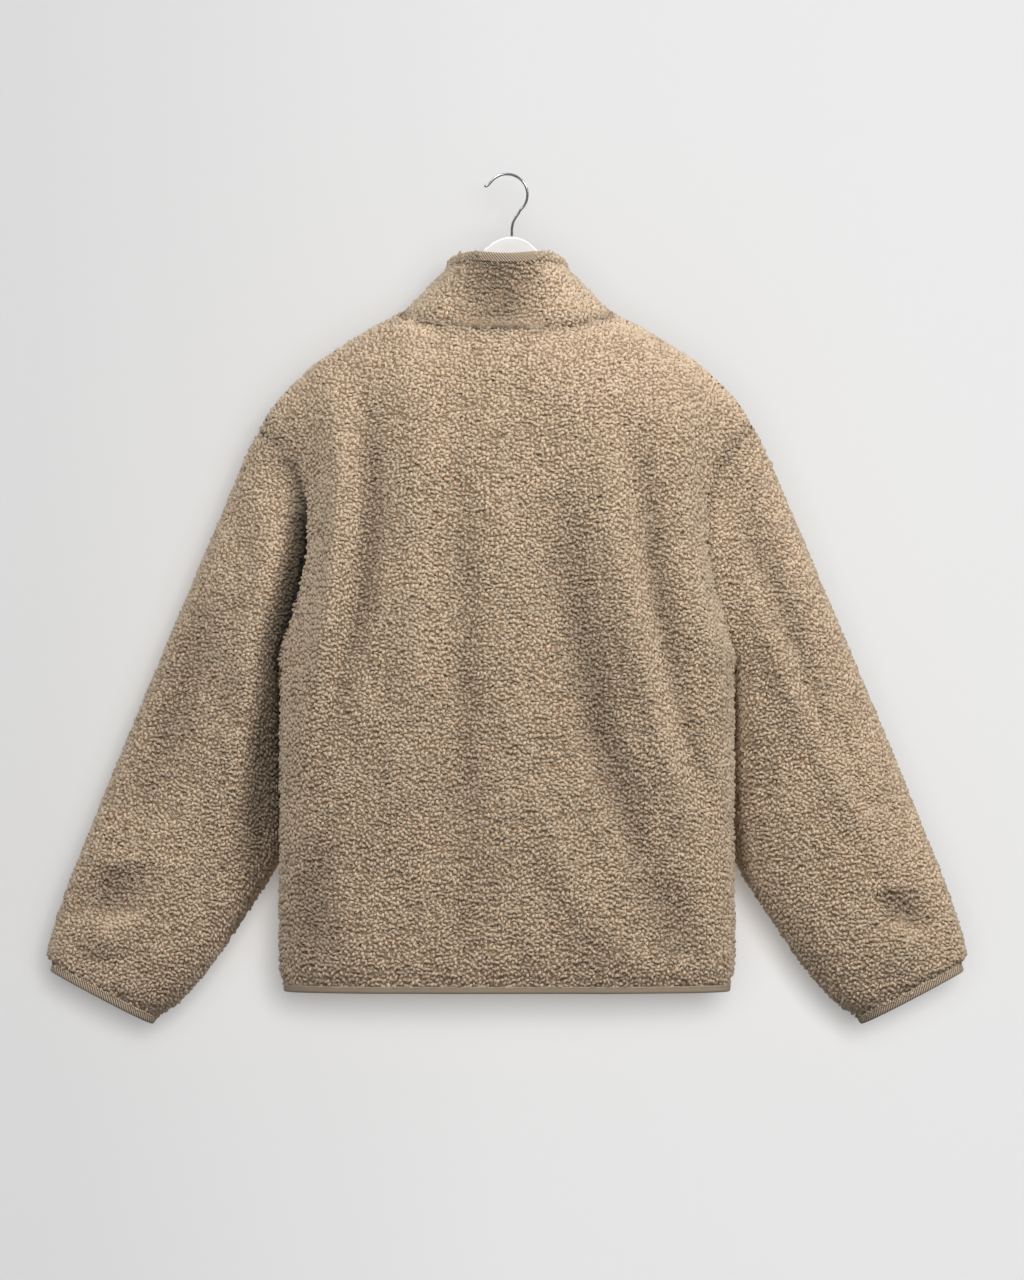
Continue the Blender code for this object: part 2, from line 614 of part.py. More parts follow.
def add_sleeve(hand, name, collection):
    w = np.arange(2 * ARMHOLE_ROWS)
    side = np.where(w <= ARMHOLE_ROWS, 1, -1)
    w = np.where(w <= ARMHOLE_ROWS, w, 2 * ARMHOLE_ROWS - w) / ARMHOLE_ROWS
    s = np.arange(SLEEVE_RINGS + 1) / SLEEVE_RINGS
    outer = np.stack([sleeve(s, np.full_like(s, a), b, hand) for a, b in zip(w, side)], axis=1)
    seam = np.stack([armhole_normal(a, b) * [hand, 1, 1] for a, b in zip(w, side)])
    run = cuff_direction(hand)
    inner = outer - WALL * sleeve_normals(outer, s, seam, run)
    wall_object(f"sleeve_{name}", outer, inner, "fleece", collection, closed=True)
    run = np.tile(run, (len(w), 1))
    rows = strip_rows(outer[-1], inner[-1], run, CUFF_BINDING_HEIGHT, BINDING_WALL)
    wall_object(f"cuff_binding_{name}", *rows, "binding", collection, closed=True)


def front_line(x):
    """Outside of the jacket beside the zip, at a distance x from the centre line: (y, z) from
    the hem to the collar's edge."""
    c = np.linspace(ZIP_EDGE, NECK_SHARE / 2, 60)
    lines = [body(c, np.full_like(c, t), -1) for t in body_rows()]
    lines += [collar(c, (i + 1) / COLLAR_ROWS, -1) for i in range(COLLAR_ROWS)]
    across = max(x, ZIP_HALF_GAP)
    return np.array(
        [[np.interp(across, line[:, 0], line[:, i]) for i in (1, 2)] for line in lines]
    )


def zip_strip(name, x_near, x_far, setback, wall, look, collection):
    """A strip that follows the front's centre, a set distance behind the outside of the cloth."""
    edges = []
    for x in (x_near, x_far):
        line = front_line(abs(x))
        edges.append(np.column_stack([np.full(len(line), x), line[:, 0] + setback, line[:, 1]]))
    front = np.stack(edges, axis=1)
    wall_object(name, front, front + [0, wall, 0], look, collection)


def chain_front(z_low, z_high):
    """How far forward the zip's chain reaches between two heights."""
    line = front_line(0)
    places = np.linspace(z_low, z_high, 8)
    return float(np.interp(places, line[:, 1], line[:, 0]).min()) + ZIP_CHAIN_SETBACK


def box(name, size, centre, look, collection):
    bm = bmesh.new()
    bmesh.ops.create_cube(bm, size=1)
    bmesh.ops.scale(bm, vec=size, verts=bm.verts)
    mesh = bpy.data.meshes.new(name)
    bm.to_mesh(mesh)
    bm.free()
    made = link(name, mesh, look, collection)
    made.location = centre
    return made


def add_zip(collection, cutters):
    for hand, name in ((1, "left"), (-1, "right")):
        near, far = hand * (ZIP_CHAIN_HALF_WIDTH + GAP), hand * ZIP_TAPE_REACH
        zip_strip(
            f"zip_tape_{name}", near, far, ZIP_TAPE_SETBACK, ZIP_TAPE_WALL, "zip_tape", collection
        )
    half = ZIP_CHAIN_HALF_WIDTH
    zip_strip("zip_chain", -half, half, ZIP_CHAIN_SETBACK, ZIP_CHAIN_WALL, "zip_plastic", collection)

    width, depth, height = SLIDER_SIZE
    back_y = chain_front(SLIDER_Z - height / 2, SLIDER_Z + height / 2) - ZIP_CLEARANCE
    face_y = back_y - depth
    pin_y, pin_z = face_y - PIN_STANDOFF, SLIDER_Z + height / 2 - PIN_DROP
    slider = box(
        "zip_slider", SLIDER_SIZE, (0, back_y - depth / 2, SLIDER_Z), "zip_metal", collection
    )
    slider_edges = slider.modifiers.new("rounded", "BEVEL")
    slider_edges.width = SLIDER_EDGE
    slider_edges.segments = 2
    cheek_x = TAB_HALF_WIDTH + 2 * GAP + SLIDER_CHEEK_WALL / 2
    cheek_reach = PIN_STANDOFF + 2 * PIN_RADIUS + GAP
    helpers = [
        box(
            f"cheek_{name}",
            (SLIDER_CHEEK_WALL, cheek_reach, 4 * PIN_RADIUS),
            (hand * cheek_x, face_y - cheek_reach / 2 + GAP, pin_z),
            "zip_metal",
            cutters,
        )
        for hand, name in ((1, "left"), (-1, "right"))
    ]
    bpy.ops.mesh.primitive_cylinder_add(
        vertices=12,
        radius=PIN_RADIUS,
        depth=2 * cheek_x,
        location=(0, pin_y, pin_z),
        rotation=(0, math.pi / 2, 0),
    )
    pin = bpy.context.object
    pin.name = "pin"
    pin.users_collection[0].objects.unlink(pin)
    cutters.objects.link(pin)
    for helper in (*helpers, pin):
        helper.hide_render = True
        helper.display_type = "WIRE"
        join = slider.modifiers.new(f"with_{helper.name}", "BOOLEAN")
        join.operation = "UNION"
        join.object = helper
    add_pull_tab(pin_y, pin_z, collection)

    width, depth, height = BOTTOM_BOX_SIZE
    back_y = chain_front(HEM_Z, HEM_Z + height) - ZIP_CLEARANCE
    place = (0, back_y - depth / 2, HEM_Z + height / 2)
    box("zip_bottom_box", BOTTOM_BOX_SIZE, place, "zip_metal", collection)


def add_pull_tab(pin_y, pin_z, collection):
    """A flat bar with a rolled eye, hanging from the slider's pin. Its origin is on the pin."""
    outline = bpy.data.curves.new("zip_pull_tab", "CURVE")
    outline.dimensions = "2D"
    outline.fill_mode = "BOTH"
    outline.extrude = TAB_HALF_WIDTH
    leave = math.asin(TAB_HALF_WALL / EYE_RADIUS)
    steps = 14
    turns = [leave + (2 * math.pi - 2 * leave) * i / steps for i in range(steps + 1)]
    eye = [(EYE_RADIUS * math.cos(a), EYE_RADIUS * math.sin(a)) for a in turns]
    tip = [(TAB_LENGTH, -TAB_HALF_WALL), (TAB_LENGTH, TAB_HALF_WALL)]
    bore = [
        (EYE_BORE * math.cos(2 * math.pi * i / 12), EYE_BORE * math.sin(2 * math.pi * i / 12))
        for i in range(12)
    ]
    for points in (eye + tip, bore):
        spline = outline.splines.new("POLY")
        spline.points.add(len(points) - 1)
        spline.points.foreach_set("co", [v for x, y in points for v in (x, y, 0, 1)])
        spline.use_cyclic_u = True
    tab = link("zip_pull_tab", outline, "zip_metal", collection)
    # The outline's x runs down the tab and its extrusion along the pin.
    tab.rotation_euler = (math.pi / 2, math.pi / 2, math.pi / 2)
    tab.location = (0, pin_y, pin_z)


def add_hanger(collection):
    """A flat rounded hanger: its arms follow the shoulder seams, just under the cloth."""
    arm = [
        (x, float(smooth(SHOULDER["x"], SHOULDER["z"], x)) - HANGER_CLEARANCE)
        for x in HANGER_ARM_TOP
    ]
    end_z = float(smooth(SHOULDER["x"], SHOULDER["z"], HANGER_END_X)) - HANGER_CLEARANCE
    tip = [(HANGER_END_X + past, end_z - share * HANGER_ARM_HEIGHT) for past, share in HANGER_TIP]
    centred = HANGER_ARM_TOP[0]
    left = [(x + HANGER_X * (1 - x / centred), z) for x, z in HANGER_HUMP]
    left += arm + tip + list(HANGER_BOTTOM)
    right = [(HANGER_X * (1 - x / centred) - x, z) for x, z in HANGER_HUMP[1:]]
    right += [(-x, z) for x, z in arm + tip + list(HANGER_BOTTOM)]
    outline = bpy.data.curves.new("hanger", "CURVE")
    outline.dimensions = "2D"
    outline.fill_mode = "BOTH"
    outline.extrude = HANGER_WALL / 2 - HANGER_EDGE
    outline.bevel_depth = HANGER_EDGE
    outline.bevel_resolution = 1
    outline.offset = -HANGER_EDGE
    points = left + right[::-1]
    spline = outline.splines.new("POLY")
    spline.points.add(len(points) - 1)
    spline.points.foreach_set("co", [v for x, z in points for v in (x, z, 0, 1)])
    spline.use_cyclic_u = True
    hanger = link("hanger", outline, "hanger_white", collection)
    hanger.rotation_euler = (math.pi / 2, 0, 0)


def add_hook(collection):
    """The wire: a round hook with its tip bent up, swinging back to a straight stem."""
    first, last = (math.radians(a) for a in HOOK_ARC)
    turns = [first + (last - first) * i / HOOK_ARC_STEPS for i in range(HOOK_ARC_STEPS + 1)]
    centre_z = HOOK_WIRE_RADIUS - HOOK_RADIUS
    path = list(HOOK_TIP)
    path += [(HOOK_RADIUS * math.cos(a), centre_z + HOOK_RADIUS * math.sin(a)) for a in turns]
    path += list(HOOK_STEM)
    path.append((HANGER_X, HANGER_CREST_Z + 2 * GAP))
    wire = bpy.data.curves.new("hanger_hook", "CURVE")
    wire.dimensions = "3D"
    wire.bevel_depth = HOOK_WIRE_RADIUS
    wire.bevel_resolution = 2
    wire.use_fill_caps = True
    spline = wire.splines.new("POLY")
    spline.points.add(len(path) - 1)
    spline.points.foreach_set("co", [v for x, z in path for v in (x, 0, z, 1)])
    link("hanger_hook", wire, "chrome", collection)


def main():
    for old in list(bpy.data.objects):
        bpy.data.objects.remove(old, do_unlink=True)
    collection = bpy.data.collections.new("sherpa_fleece_jacket")
    cutters = bpy.data.collections.new("cutters")
    for made in (collection, cutters):
        bpy.context.scene.collection.children.link(made)
    grids = add_body(collection)
    add_hem_binding(grids, collection)
    add_collar(collection)
    for hand, name in ((1, "left"), (-1, "right")):
        add_sleeve(hand, name, collection)
    add_zip(collection, cutters)
    add_hanger(collection)
    add_hook(collection)


main()
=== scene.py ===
"""A sherpa fleece jacket on a hanger: curly pile, bound edges, zip and studio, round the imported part.

Metres, +Z up. The jacket's back faces +Y, its front -Y, and the wearer's left is +X.
"""

import json
import math

import bmesh
import bpy
import numpy as np
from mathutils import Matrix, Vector

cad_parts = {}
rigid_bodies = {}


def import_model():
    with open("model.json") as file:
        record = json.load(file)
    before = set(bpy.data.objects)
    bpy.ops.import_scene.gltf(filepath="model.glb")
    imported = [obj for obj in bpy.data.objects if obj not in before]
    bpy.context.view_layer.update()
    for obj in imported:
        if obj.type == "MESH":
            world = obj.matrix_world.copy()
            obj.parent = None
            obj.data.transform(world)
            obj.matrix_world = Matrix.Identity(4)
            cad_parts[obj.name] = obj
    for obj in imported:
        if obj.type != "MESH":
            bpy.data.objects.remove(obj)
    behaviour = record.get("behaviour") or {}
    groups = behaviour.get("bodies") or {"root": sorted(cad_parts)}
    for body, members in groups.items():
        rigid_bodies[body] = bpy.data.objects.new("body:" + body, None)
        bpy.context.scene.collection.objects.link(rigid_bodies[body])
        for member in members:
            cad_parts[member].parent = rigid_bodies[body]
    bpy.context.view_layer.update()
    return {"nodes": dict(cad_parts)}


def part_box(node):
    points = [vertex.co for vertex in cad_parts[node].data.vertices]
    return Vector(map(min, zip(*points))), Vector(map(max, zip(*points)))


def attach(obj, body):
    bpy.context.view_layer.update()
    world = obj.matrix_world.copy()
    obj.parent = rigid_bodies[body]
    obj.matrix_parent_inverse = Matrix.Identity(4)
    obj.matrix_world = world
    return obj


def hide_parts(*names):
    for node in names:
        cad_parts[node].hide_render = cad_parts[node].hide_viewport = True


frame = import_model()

# ---------------------------------------------------------------- sizes, as the solids have them
WALL = 0.006
GAP = 0.0003
BINDING_WALL = 0.0046
HEM_Z = -0.8405
HEM_BINDING_HEIGHT = 0.0075
SHOULDER_END = (0.2545, -0.2595)
UNDERARM_Z = -0.514
ARMHOLE_HALF_DEPTH = {1: 0.026, -1: 0.042}
ARMHOLE_RISE = 0.65
SLEEVE_FLATNESS = 0.4
SHOULDER_ROUNDING = 0.110
SHOULDER_SHARE = 0.28
UNDERARM_SHARE = (UNDERARM_Z - HEM_Z) / (SHOULDER_END[1] - HEM_Z)
ARMHOLE_NORMAL_OUT = 0.3
ZIP_EDGE = 1e-9
NECK_HALF_WIDTH = 0.108
NECK_POINT_Z = -0.141
NECK_SHARE = 0.45
NECK_NORMAL_RISE = 0.7
NECK = {1: {"depth": 0.052, "drop": 0.019}, -1: {"depth": 0.066, "drop": 0.030}}
NECK_BLEND = 0.22
COLLAR_TOP_HALF_WIDTH = 0.064
COLLAR_TOP_MID_Y = -0.008
COLLAR_TOP_DEPTH = {1: 0.064, -1: 0.056}
COLLAR_TOP_SIDE_Z = -0.0975
COLLAR_TOP_RISE = {1: 0.003, -1: -0.018}
COLLAR_TOP_WAVE = 0.004
COLLAR_WAIST = 0.067
COLLAR_LIFT = 1.3 * GAP
COLLAR_BINDING_LEAN = 0.5
COLLAR_BINDING_HEIGHT = 0.0105
CUFF_BINDING_HEIGHT = 0.0094
ZIP_HALF_GAP = 0.0065
ZIP_CHAIN_SETBACK = WALL - 0.0015
HANGER_X = -0.005
HANGER_WALL = 0.012
HANGER_EDGE = 0.002
HANGER_CREST_Z = -0.064
HANGER_CLEARANCE = 0.0130
HANGER_ARM_HEIGHT = 0.024
HANGER_END_X = 0.192
HANGER_TIP = ((0.000, 0.20), (0.002, 0.55), (-0.008, 0.85))
HOOK_WIRE_RADIUS = 0.0013
HOOK_RADIUS = 0.0212

SHOULDER = {
    "x": (0.108, 0.126, 0.147, 0.179, 0.202, 0.218, 0.2345, 0.2465, 0.2545),
    "z": (-0.141, -0.150, -0.1615, -0.1815, -0.197, -0.2125, -0.2285, -0.244, -0.2595),
}
BODY = (
    # z, half_width, back, front
    (-0.8405, 0.2330, 0.050, 0.048),
    (-0.8250, 0.2372, 0.054, 0.052),
    (-0.7900, 0.2385, 0.057, 0.055),
    (-0.7000, 0.2375, 0.060, 0.058),
    (-0.6000, 0.2375, 0.063, 0.060),
    (-0.5140, 0.2370, 0.065, 0.062),
    (-0.4700, 0.2260, 0.066, 0.062),
    (-0.4300, 0.2150, 0.067, 0.061),
    (-0.3800, 0.2075, 0.067, 0.060),
    (-0.3400, 0.2075, 0.066, 0.059),
    (-0.3150, 0.2140, 0.066, 0.058),
    (-0.2900, 0.2290, 0.066, 0.058),
    (-0.2595, 0.2545, 0.066, 0.058),
)
SLEEVE = (
    # x_out, z_out, x_in, z_in, y_mid, half_depth
    (0.2545, -0.2595, 0.2370, -0.5140, 0.000, 0.050),
    (0.2700, -0.2870, 0.2398, -0.5240, -0.013, 0.055),
    (0.2890, -0.3310, 0.2362, -0.5380, -0.026, 0.058),
    (0.3110, -0.3810, 0.2325, -0.5620, -0.036, 0.058),
    (0.3360, -0.4400, 0.2290, -0.5960, -0.041, 0.056),
    (0.3620, -0.5005, 0.2260, -0.6340, -0.044, 0.053),
    (0.3885, -0.5640, 0.2250, -0.6680, -0.043, 0.049),
    (0.4145, -0.6270, 0.2310, -0.6980, -0.041, 0.046),
    (0.4380, -0.6860, 0.2430, -0.7250, -0.037, 0.043),
    (0.4560, -0.7310, 0.2600, -0.7520, -0.033, 0.040),
    (0.4690, -0.7680, 0.2810, -0.7840, -0.030, 0.038),
    (0.4775, -0.7970, 0.3030, -0.8160, -0.028, 0.036),
    (0.4800, -0.8100, 0.3260, -0.8450, -0.027, 0.034),
    (0.4785, -0.8150, 0.3450, -0.8640, -0.026, 0.032),
    (0.4735, -0.8187, 0.3640, -0.8762, -0.025, 0.028),
)
SEAM_NORMAL_FADE = 0.17
SEAM_FADE = 0.28
FOLD_FADE = {"armhole": 0.12, "cuff": 0.10}
HEM_FADE = {"height": 0.05, "left_at_hem": 0.25}
FOLDS = {
    "back": (
        # z_top, z_low, x_top, x_mid, x_low, half_width, height
        (-0.205, -0.640, 0.186, 0.183, 0.230, 0.0180, 0.0170),
        (-0.225, -0.600, 0.148, 0.146, 0.196, 0.0160, -0.0080),
        (-0.225, -0.720, 0.098, 0.096, 0.124, 0.0230, 0.0070),
        (-0.250, -0.835, 0.046, 0.042, 0.040, 0.0170, -0.0050),
        (-0.250, -0.800, -0.003, -0.003, -0.010, 0.0220, 0.0040),
        (-0.320, -0.770, -0.060, -0.090, -0.165, 0.0220, -0.0090),
        (-0.235, -0.745, -0.095, -0.135, -0.212, 0.0180, 0.0090),
        (-0.250, -0.660, -0.140, -0.160, -0.208, 0.0150, -0.0080),
        (-0.205, -0.580, -0.188, -0.200, -0.234, 0.0170, 0.0140),
        (-0.620, -0.840, -0.028, -0.064, -0.140, 0.0240, 0.0055),
        (-0.725, -0.825, -0.165, -0.172, -0.180, 0.0250, -0.0060),
        (-0.680, -0.838, 0.200, 0.203, 0.206, 0.0240, -0.0060),
    ),
    "front": (
        (-0.215, -0.600, 0.178, 0.172, 0.220, 0.0160, 0.0110),
        (-0.225, -0.560, 0.146, 0.150, 0.190, 0.0150, -0.0060),
        (-0.250, -0.800, 0.075, 0.085, 0.100, 0.0200, 0.0050),
        (-0.215, -0.560, -0.184, -0.190, -0.228, 0.0150, 0.0110),
        (-0.240, -0.640, -0.140, -0.152, -0.200, 0.0150, -0.0060),
        (-0.300, -0.780, -0.070, -0.090, -0.130, 0.0190, 0.0050),
    ),
    "sleeve_back": (
        (-0.300, -0.730, 0.240, 0.268, 0.306, 0.0200, 0.0090),
        (-0.420, -0.680, 0.305, 0.345, 0.390, 0.0220, -0.0060),
        (-0.715, -0.775, 0.400, 0.415, 0.425, 0.0300, -0.0080),
        (-0.765, -0.815, 0.405, 0.413, 0.420, 0.0230, 0.0070),
        (-0.300, -0.640, -0.236, -0.290, -0.350, 0.0180, -0.0070),
        (-0.400, -0.730, -0.250, -0.312, -0.400, 0.0180, 0.0080),
        (-0.740, -0.790, -0.400, -0.412, -0.425, 0.0240, -0.0080),
        (-0.770, -0.835, -0.408, -0.412, -0.405, 0.0110, 0.0060),
    ),
    "sleeve_front": (
        (-0.360, -0.700, 0.270, 0.300, 0.340, 0.0180, 0.0060),
        (-0.700, -0.790, 0.390, 0.410, 0.425, 0.0260, -0.0060),
        (-0.340, -0.690, -0.262, -0.300, -0.345, 0.0180, 0.0060),
        (-0.710, -0.800, -0.385, -0.405, -0.420, 0.0260, -0.0060),
    ),
}
COLLAR_DENTS = (
    # x, half_width, height, on the back of the collar
    (0.012, 0.0420, -0.0090),
    (-0.066, 0.0180, 0.0060),
    (0.068, 0.0160, 0.0030),
)
WAVES = (
    # low and uneven, over all the cloth: along_x, along_z, lean, height, start
    (0.131, 0.610, 0.12, 0.0009, 0.4),
    (0.083, 0.370, -0.16, 0.0006, 2.1),
    (0.190, 0.290, 0.45, 0.0006, 4.0),
    (0.047, 0.230, -0.10, 0.0003, 1.3),
)
HOOK_TIP = ((0.0232, -0.0104), (0.0212, -0.0112))
HOOK_ARC = (36.0, 228.0)
HOOK_STEM = (
    (-0.0113, -0.0405),
    (-0.0081, -0.0452),
    (-0.0060, -0.0500),
    (-0.0051, -0.0555),
    (-0.0050, -0.0600),
)
HANGER_HUMP = (
    (0.000, -0.0640),
    (0.014, -0.0672),
    (0.026, -0.0760),
    (0.034, -0.0855),
    (0.052, -0.1050),
    (0.076, -0.1310),
)
HANGER_ARM_TOP = (0.108, 0.130, 0.155, 0.178)
HANGER_BOTTOM = ((0.150, -0.2030), (0.105, -0.1790), (0.060, -0.1560), (0.020, -0.1440))

# ---------------------------------------------------------------- how fine the cloth and pile are
HOLLOW_SHADE = 0.40  # how much painted shade darkens the pile and its backing in the hollows
SLEEVE_PAINTED_SHADE = (
    # painted shade on the left sleeve beside the body: z, reach from the body's edge, depth
    (-0.760, 0.050, 0.0),
    (-0.660, 0.045, 1.3),
    (-0.550, 0.036, 1.4),
    (-0.440, 0.028, 2.0),
    (-0.360, 0.018, 1.9),
    (-0.285, 0.010, 0.0),
)
SEAM_PAINTED_SHADE = {"neck": (0.0065, 1.1), "armhole": (0.006, 0.8)}  # painted shade in the hollows along the seams: reach and depth
PILE_HANG = 0.0028  # how far the pile hangs over the bindings
PILE_OVER = {"from": 0.006, "fade": 0.036, "lift": 0.22}  # where pile starts to cover the collar's binding
BACKING_DEPTH = 0.0024  # of the shells' outer skin, under the tips of the pile
SPACING = {"seen": 0.0034, "hidden": 0.0044}  # between curls
SEEDS = {"back": 11, "front": 21, "sleeve": 31, "collar": 41}
FOLD_HEIGHT = 0.009  # a fold this high counts as a full crest
NECK_COLUMNS = 18  # from the centre to the neck point
SHOULDER_COLUMNS = 22  # from the neck point to the armhole
HEM_ROWS = 56  # from the hem to the underarm
ARMHOLE_ROWS = 52
SLEEVE_RINGS = 92
SLEEVE_HALF_RING = 33
COLLAR_COLUMNS = 26  # from the centre to the neck point
COLLAR_ROWS = 15
SEAM_POINTS = {"neck": 61, "armhole": 41}
CURL = {
    # least and most: lengths in metres at the seen spacing, the rest as shares of them
    "half_length": (0.0027, 0.0040),
    "half_width": (0.0020, 0.0027),
    "height": (0.0028, 0.0044),
    "bend": (-0.8, 0.8),
    "lean": (-0.4, 0.4),
    "sag": (0.0, 0.5),
    "crown": (0.8, 1.15),
}
CURL_ROOT = 0.0010  # how deep a curl starts in the cloth
CURL_STATIONS = ((-1.0, 0.0), (-0.5, 0.85), (0.05, 1.0), (0.6, 0.8), (1.0, 0.0))  # place, fullness
CURL_POINTS = 11
PARTING_LENGTH = 0.060
PARTING_WIDTH = 0.011
PARTING_WAVES = 14
CURL_FACES = np.array([
    (0, 1, 2), (0, 2, 3),
    (1, 4, 5), (1, 5, 2), (2, 5, 6), (2, 6, 3),
    (4, 7, 8), (4, 8, 5), (5, 8, 9), (5, 9, 6),
    (7, 10, 8), (8, 10, 9),
])


# ---------------------------------------------------------------- shape functions
def smooth(keys, values, at):
    """Reads a table with a smooth curve that passes its rows without overshooting."""
    keys = np.asarray(keys, float)
    values = np.asarray(values, float)
    if keys[0] > keys[-1]:
        keys, values = keys[::-1], values[::-1]
    step = np.diff(keys)
    rise = np.diff(values) / step
    slope = np.zeros(len(keys))
    slope[0], slope[-1] = rise[0], rise[-1]
    before, after = rise[:-1], rise[1:]
    turning = before * after <= 0
    total = np.where(turning, 1.0, before + after)
    slope[1:-1] = np.where(turning, 0.0, 2 * before * after / total)
    at = np.clip(at, keys[0], keys[-1])
    i = np.clip(np.searchsorted(keys, at) - 1, 0, len(keys) - 2)
    f = (at - keys[i]) / step[i]
    return (
        values[i] * (1 + 2 * f) * (1 - f) ** 2
        + slope[i] * step[i] * f * (1 - f) ** 2
        + values[i + 1] * f**2 * (3 - 2 * f)
        + slope[i + 1] * step[i] * f**2 * (f - 1)
    )


def ease(x):
    """0 below 0, 1 above 1, and smooth between."""
    x = np.clip(x, 0, 1)
    return x * x * (3 - 2 * x)


def column(table, index):
    return [row[index] for row in table]


def unit(v):
    return v / np.maximum(np.linalg.norm(v, axis=-1, keepdims=True), 1e-12)


def relief(x, z, folds):
    """Height of the folds at a place on the cloth."""
    height = np.zeros(np.broadcast(x, z).shape)
    for z_top, z_low, x_top, x_mid, x_low, half_width, rise in folds:
        s = (z_top - z) / (z_top - z_low)
        centre = (
            x_top * (1 - s) * (1 - 2 * s) + 4 * x_mid * s * (1 - s) + x_low * s * (2 * s - 1)
        )
        along = np.sin(np.pi * np.clip(s, 0, 1)) ** 0.8
        across = np.exp(-(((x - centre) / half_width) ** 2))
        height = height + rise * along * across
    return height


def waves(x, z):
    """Low uneven swells of the cloth."""
    height = 0.0
    for along_x, along_z, lean, rise, start in WAVES:
        turn = 2 * np.pi * ((x + lean * z) / along_x + 0.4 * np.sin(2 * np.pi * z / along_z))
        height = height + rise * np.sin(turn + start)
    return height


def top_edge(c, side):
    """Neckline and shoulder seam of a half panel, from the centre (c = 0) to the armhole (1)."""
    neck = NECK[side]
    turn = np.clip(c / NECK_SHARE, 0, 1) * np.pi / 2
    along = np.clip((c - NECK_SHARE) / (1 - NECK_SHARE), 0, 1)
    outer = NECK_HALF_WIDTH + (SHOULDER_END[0] - NECK_HALF_WIDTH) * along
    in_neck = c < NECK_SHARE
    x = np.where(in_neck, NECK_HALF_WIDTH * np.sin(turn), outer)
    y = neck["depth"] * np.where(in_neck, np.cos(turn), 0)
    seam_z = smooth(SHOULDER["x"], SHOULDER["z"], outer)
    z = np.where(in_neck, NECK_POINT_Z - neck["drop"] * np.cos(turn), seam_z)
    return x, y, z


def armhole_share(t):
    return np.clip((t - UNDERARM_SHARE) / (1 - UNDERARM_SHARE), 0, 1)


def zip_shift(c):
    return ZIP_HALF_GAP * np.clip(1 - c / NECK_SHARE, 0, 1) ** 2


def body(c, t, side):
    """Outside of the back (side 1) or front (-1): c runs -1 to 1 across, t hem to shoulder."""
    hand = np.sign(c)
    c = np.abs(c)
    x_top, y_top, z_top = top_edge(c, side)
    z = HEM_Z + t * (z_top - HEM_Z)
    edge_z = HEM_Z + t * (SHOULDER_END[1] - HEM_Z)
    z_rows = column(BODY, 0)
    width = smooth(z_rows, column(BODY, 1), edge_z)
    depth = smooth(z_rows, column(BODY, 2 if side > 0 else 3), edge_z)
    to_top = ease((t - 1) / SHOULDER_SHARE + 1)
    # Just under the seam the neckline's curve spreads out into the shoulder.
    drop = np.clip((z_top - z) / SHOULDER_ROUNDING, 0, 1)
    near = ease(drop / NECK_BLEND)
    even = NECK_HALF_WIDTH * c / NECK_SHARE
    x_top = np.where(c < NECK_SHARE, x_top * (1 - near) + even * near, x_top)
    x = c * width * (1 - to_top) + x_top * width / SHOULDER_END[0] * to_top
    rise = np.minimum(armhole_share(t) / ARMHOLE_RISE, 1)
    at_armhole = ARMHOLE_HALF_DEPTH[side] * np.sqrt(1 - (1 - rise) ** 2)
    across = np.clip(x / width, 0, 1)
    full = np.sqrt(depth**2 * (1 - across**4) + at_armhole**2 * across**8)
    share = y_top / NECK[side]["depth"] * (1 - near) + (1 - ease(c / (2 * NECK_SHARE))) * near
    turn = (1 - (1 - drop) ** 2) ** (0.5 + 0.5 * share)
    y = NECK[side]["depth"] * share * (1 - turn) + full * turn
    folds = FOLDS["back" if side > 0 else "front"]
    settled = ease((z - HEM_Z) / HEM_FADE["height"] + HEM_FADE["left_at_hem"])
    swell = relief(hand * x, z, folds) * settled + waves(hand * x, z)
    y = y + swell * turn * (1 - across**10)
    if side < 0:
        x = x + zip_shift(c)
    return np.stack(np.broadcast_arrays(hand * x, side * (y + GAP / 2), z), axis=-1)


def sleeve_section(key, h, turn, side):
    rows = np.arange(len(SLEEVE))
    x_out, z_out, x_in, z_in, y_mid, half_depth = (
        smooth(rows, column(SLEEVE, i), key) for i in range(6)
    )
    x = x_in + (x_out - x_in) * h
    z = z_in + (z_out - z_in) * h
    y = y_mid + side * half_depth * np.sin(turn) ** (1 - SLEEVE_FLATNESS * h)
    return x, y, z


def sleeve(s, w, side, hand):
    """Outside of a sleeve: s runs armhole to cuff, w underarm to shoulder."""
    turn = np.pi * w
    h = (1 - np.cos(turn)) / 2
    x, y, z = sleeve_section(s * (len(SLEEVE) - 1), h, turn, side)
    x0, y0, z0 = sleeve_section(0.0 * s, h, turn, side)
    seam = body(np.ones_like(h), UNDERARM_SHARE + (1 - UNDERARM_SHARE) * h, side)
    fade = 1 - ease(s / SEAM_FADE)
    x = x + (seam[..., 0] - x0) * fade + GAP * fade
    y = y + (seam[..., 1] - y0) * fade
    z = z + (seam[..., 2] - z0) * fade
    folds = FOLDS["sleeve_back" if side > 0 else "sleeve_front"]
    settled = ease(s / FOLD_FADE["armhole"]) * ease((1 - s) / FOLD_FADE["cuff"])
    swell = relief(hand * x, z, folds) + waves(hand * x + 0.07 * side, z)
    y = y + side * swell * settled * np.sin(turn) ** 0.5
    return np.stack(np.broadcast_arrays(hand * x, y, z), axis=-1)


def armhole_normal(w, side):
    turn = np.pi * np.asarray(w, float)
    n = np.stack(
        [ARMHOLE_NORMAL_OUT * (1 - np.cos(turn)) / 2, side * np.sin(turn), -np.cos(turn)],
        axis=-1,
    )
    return unit(n)


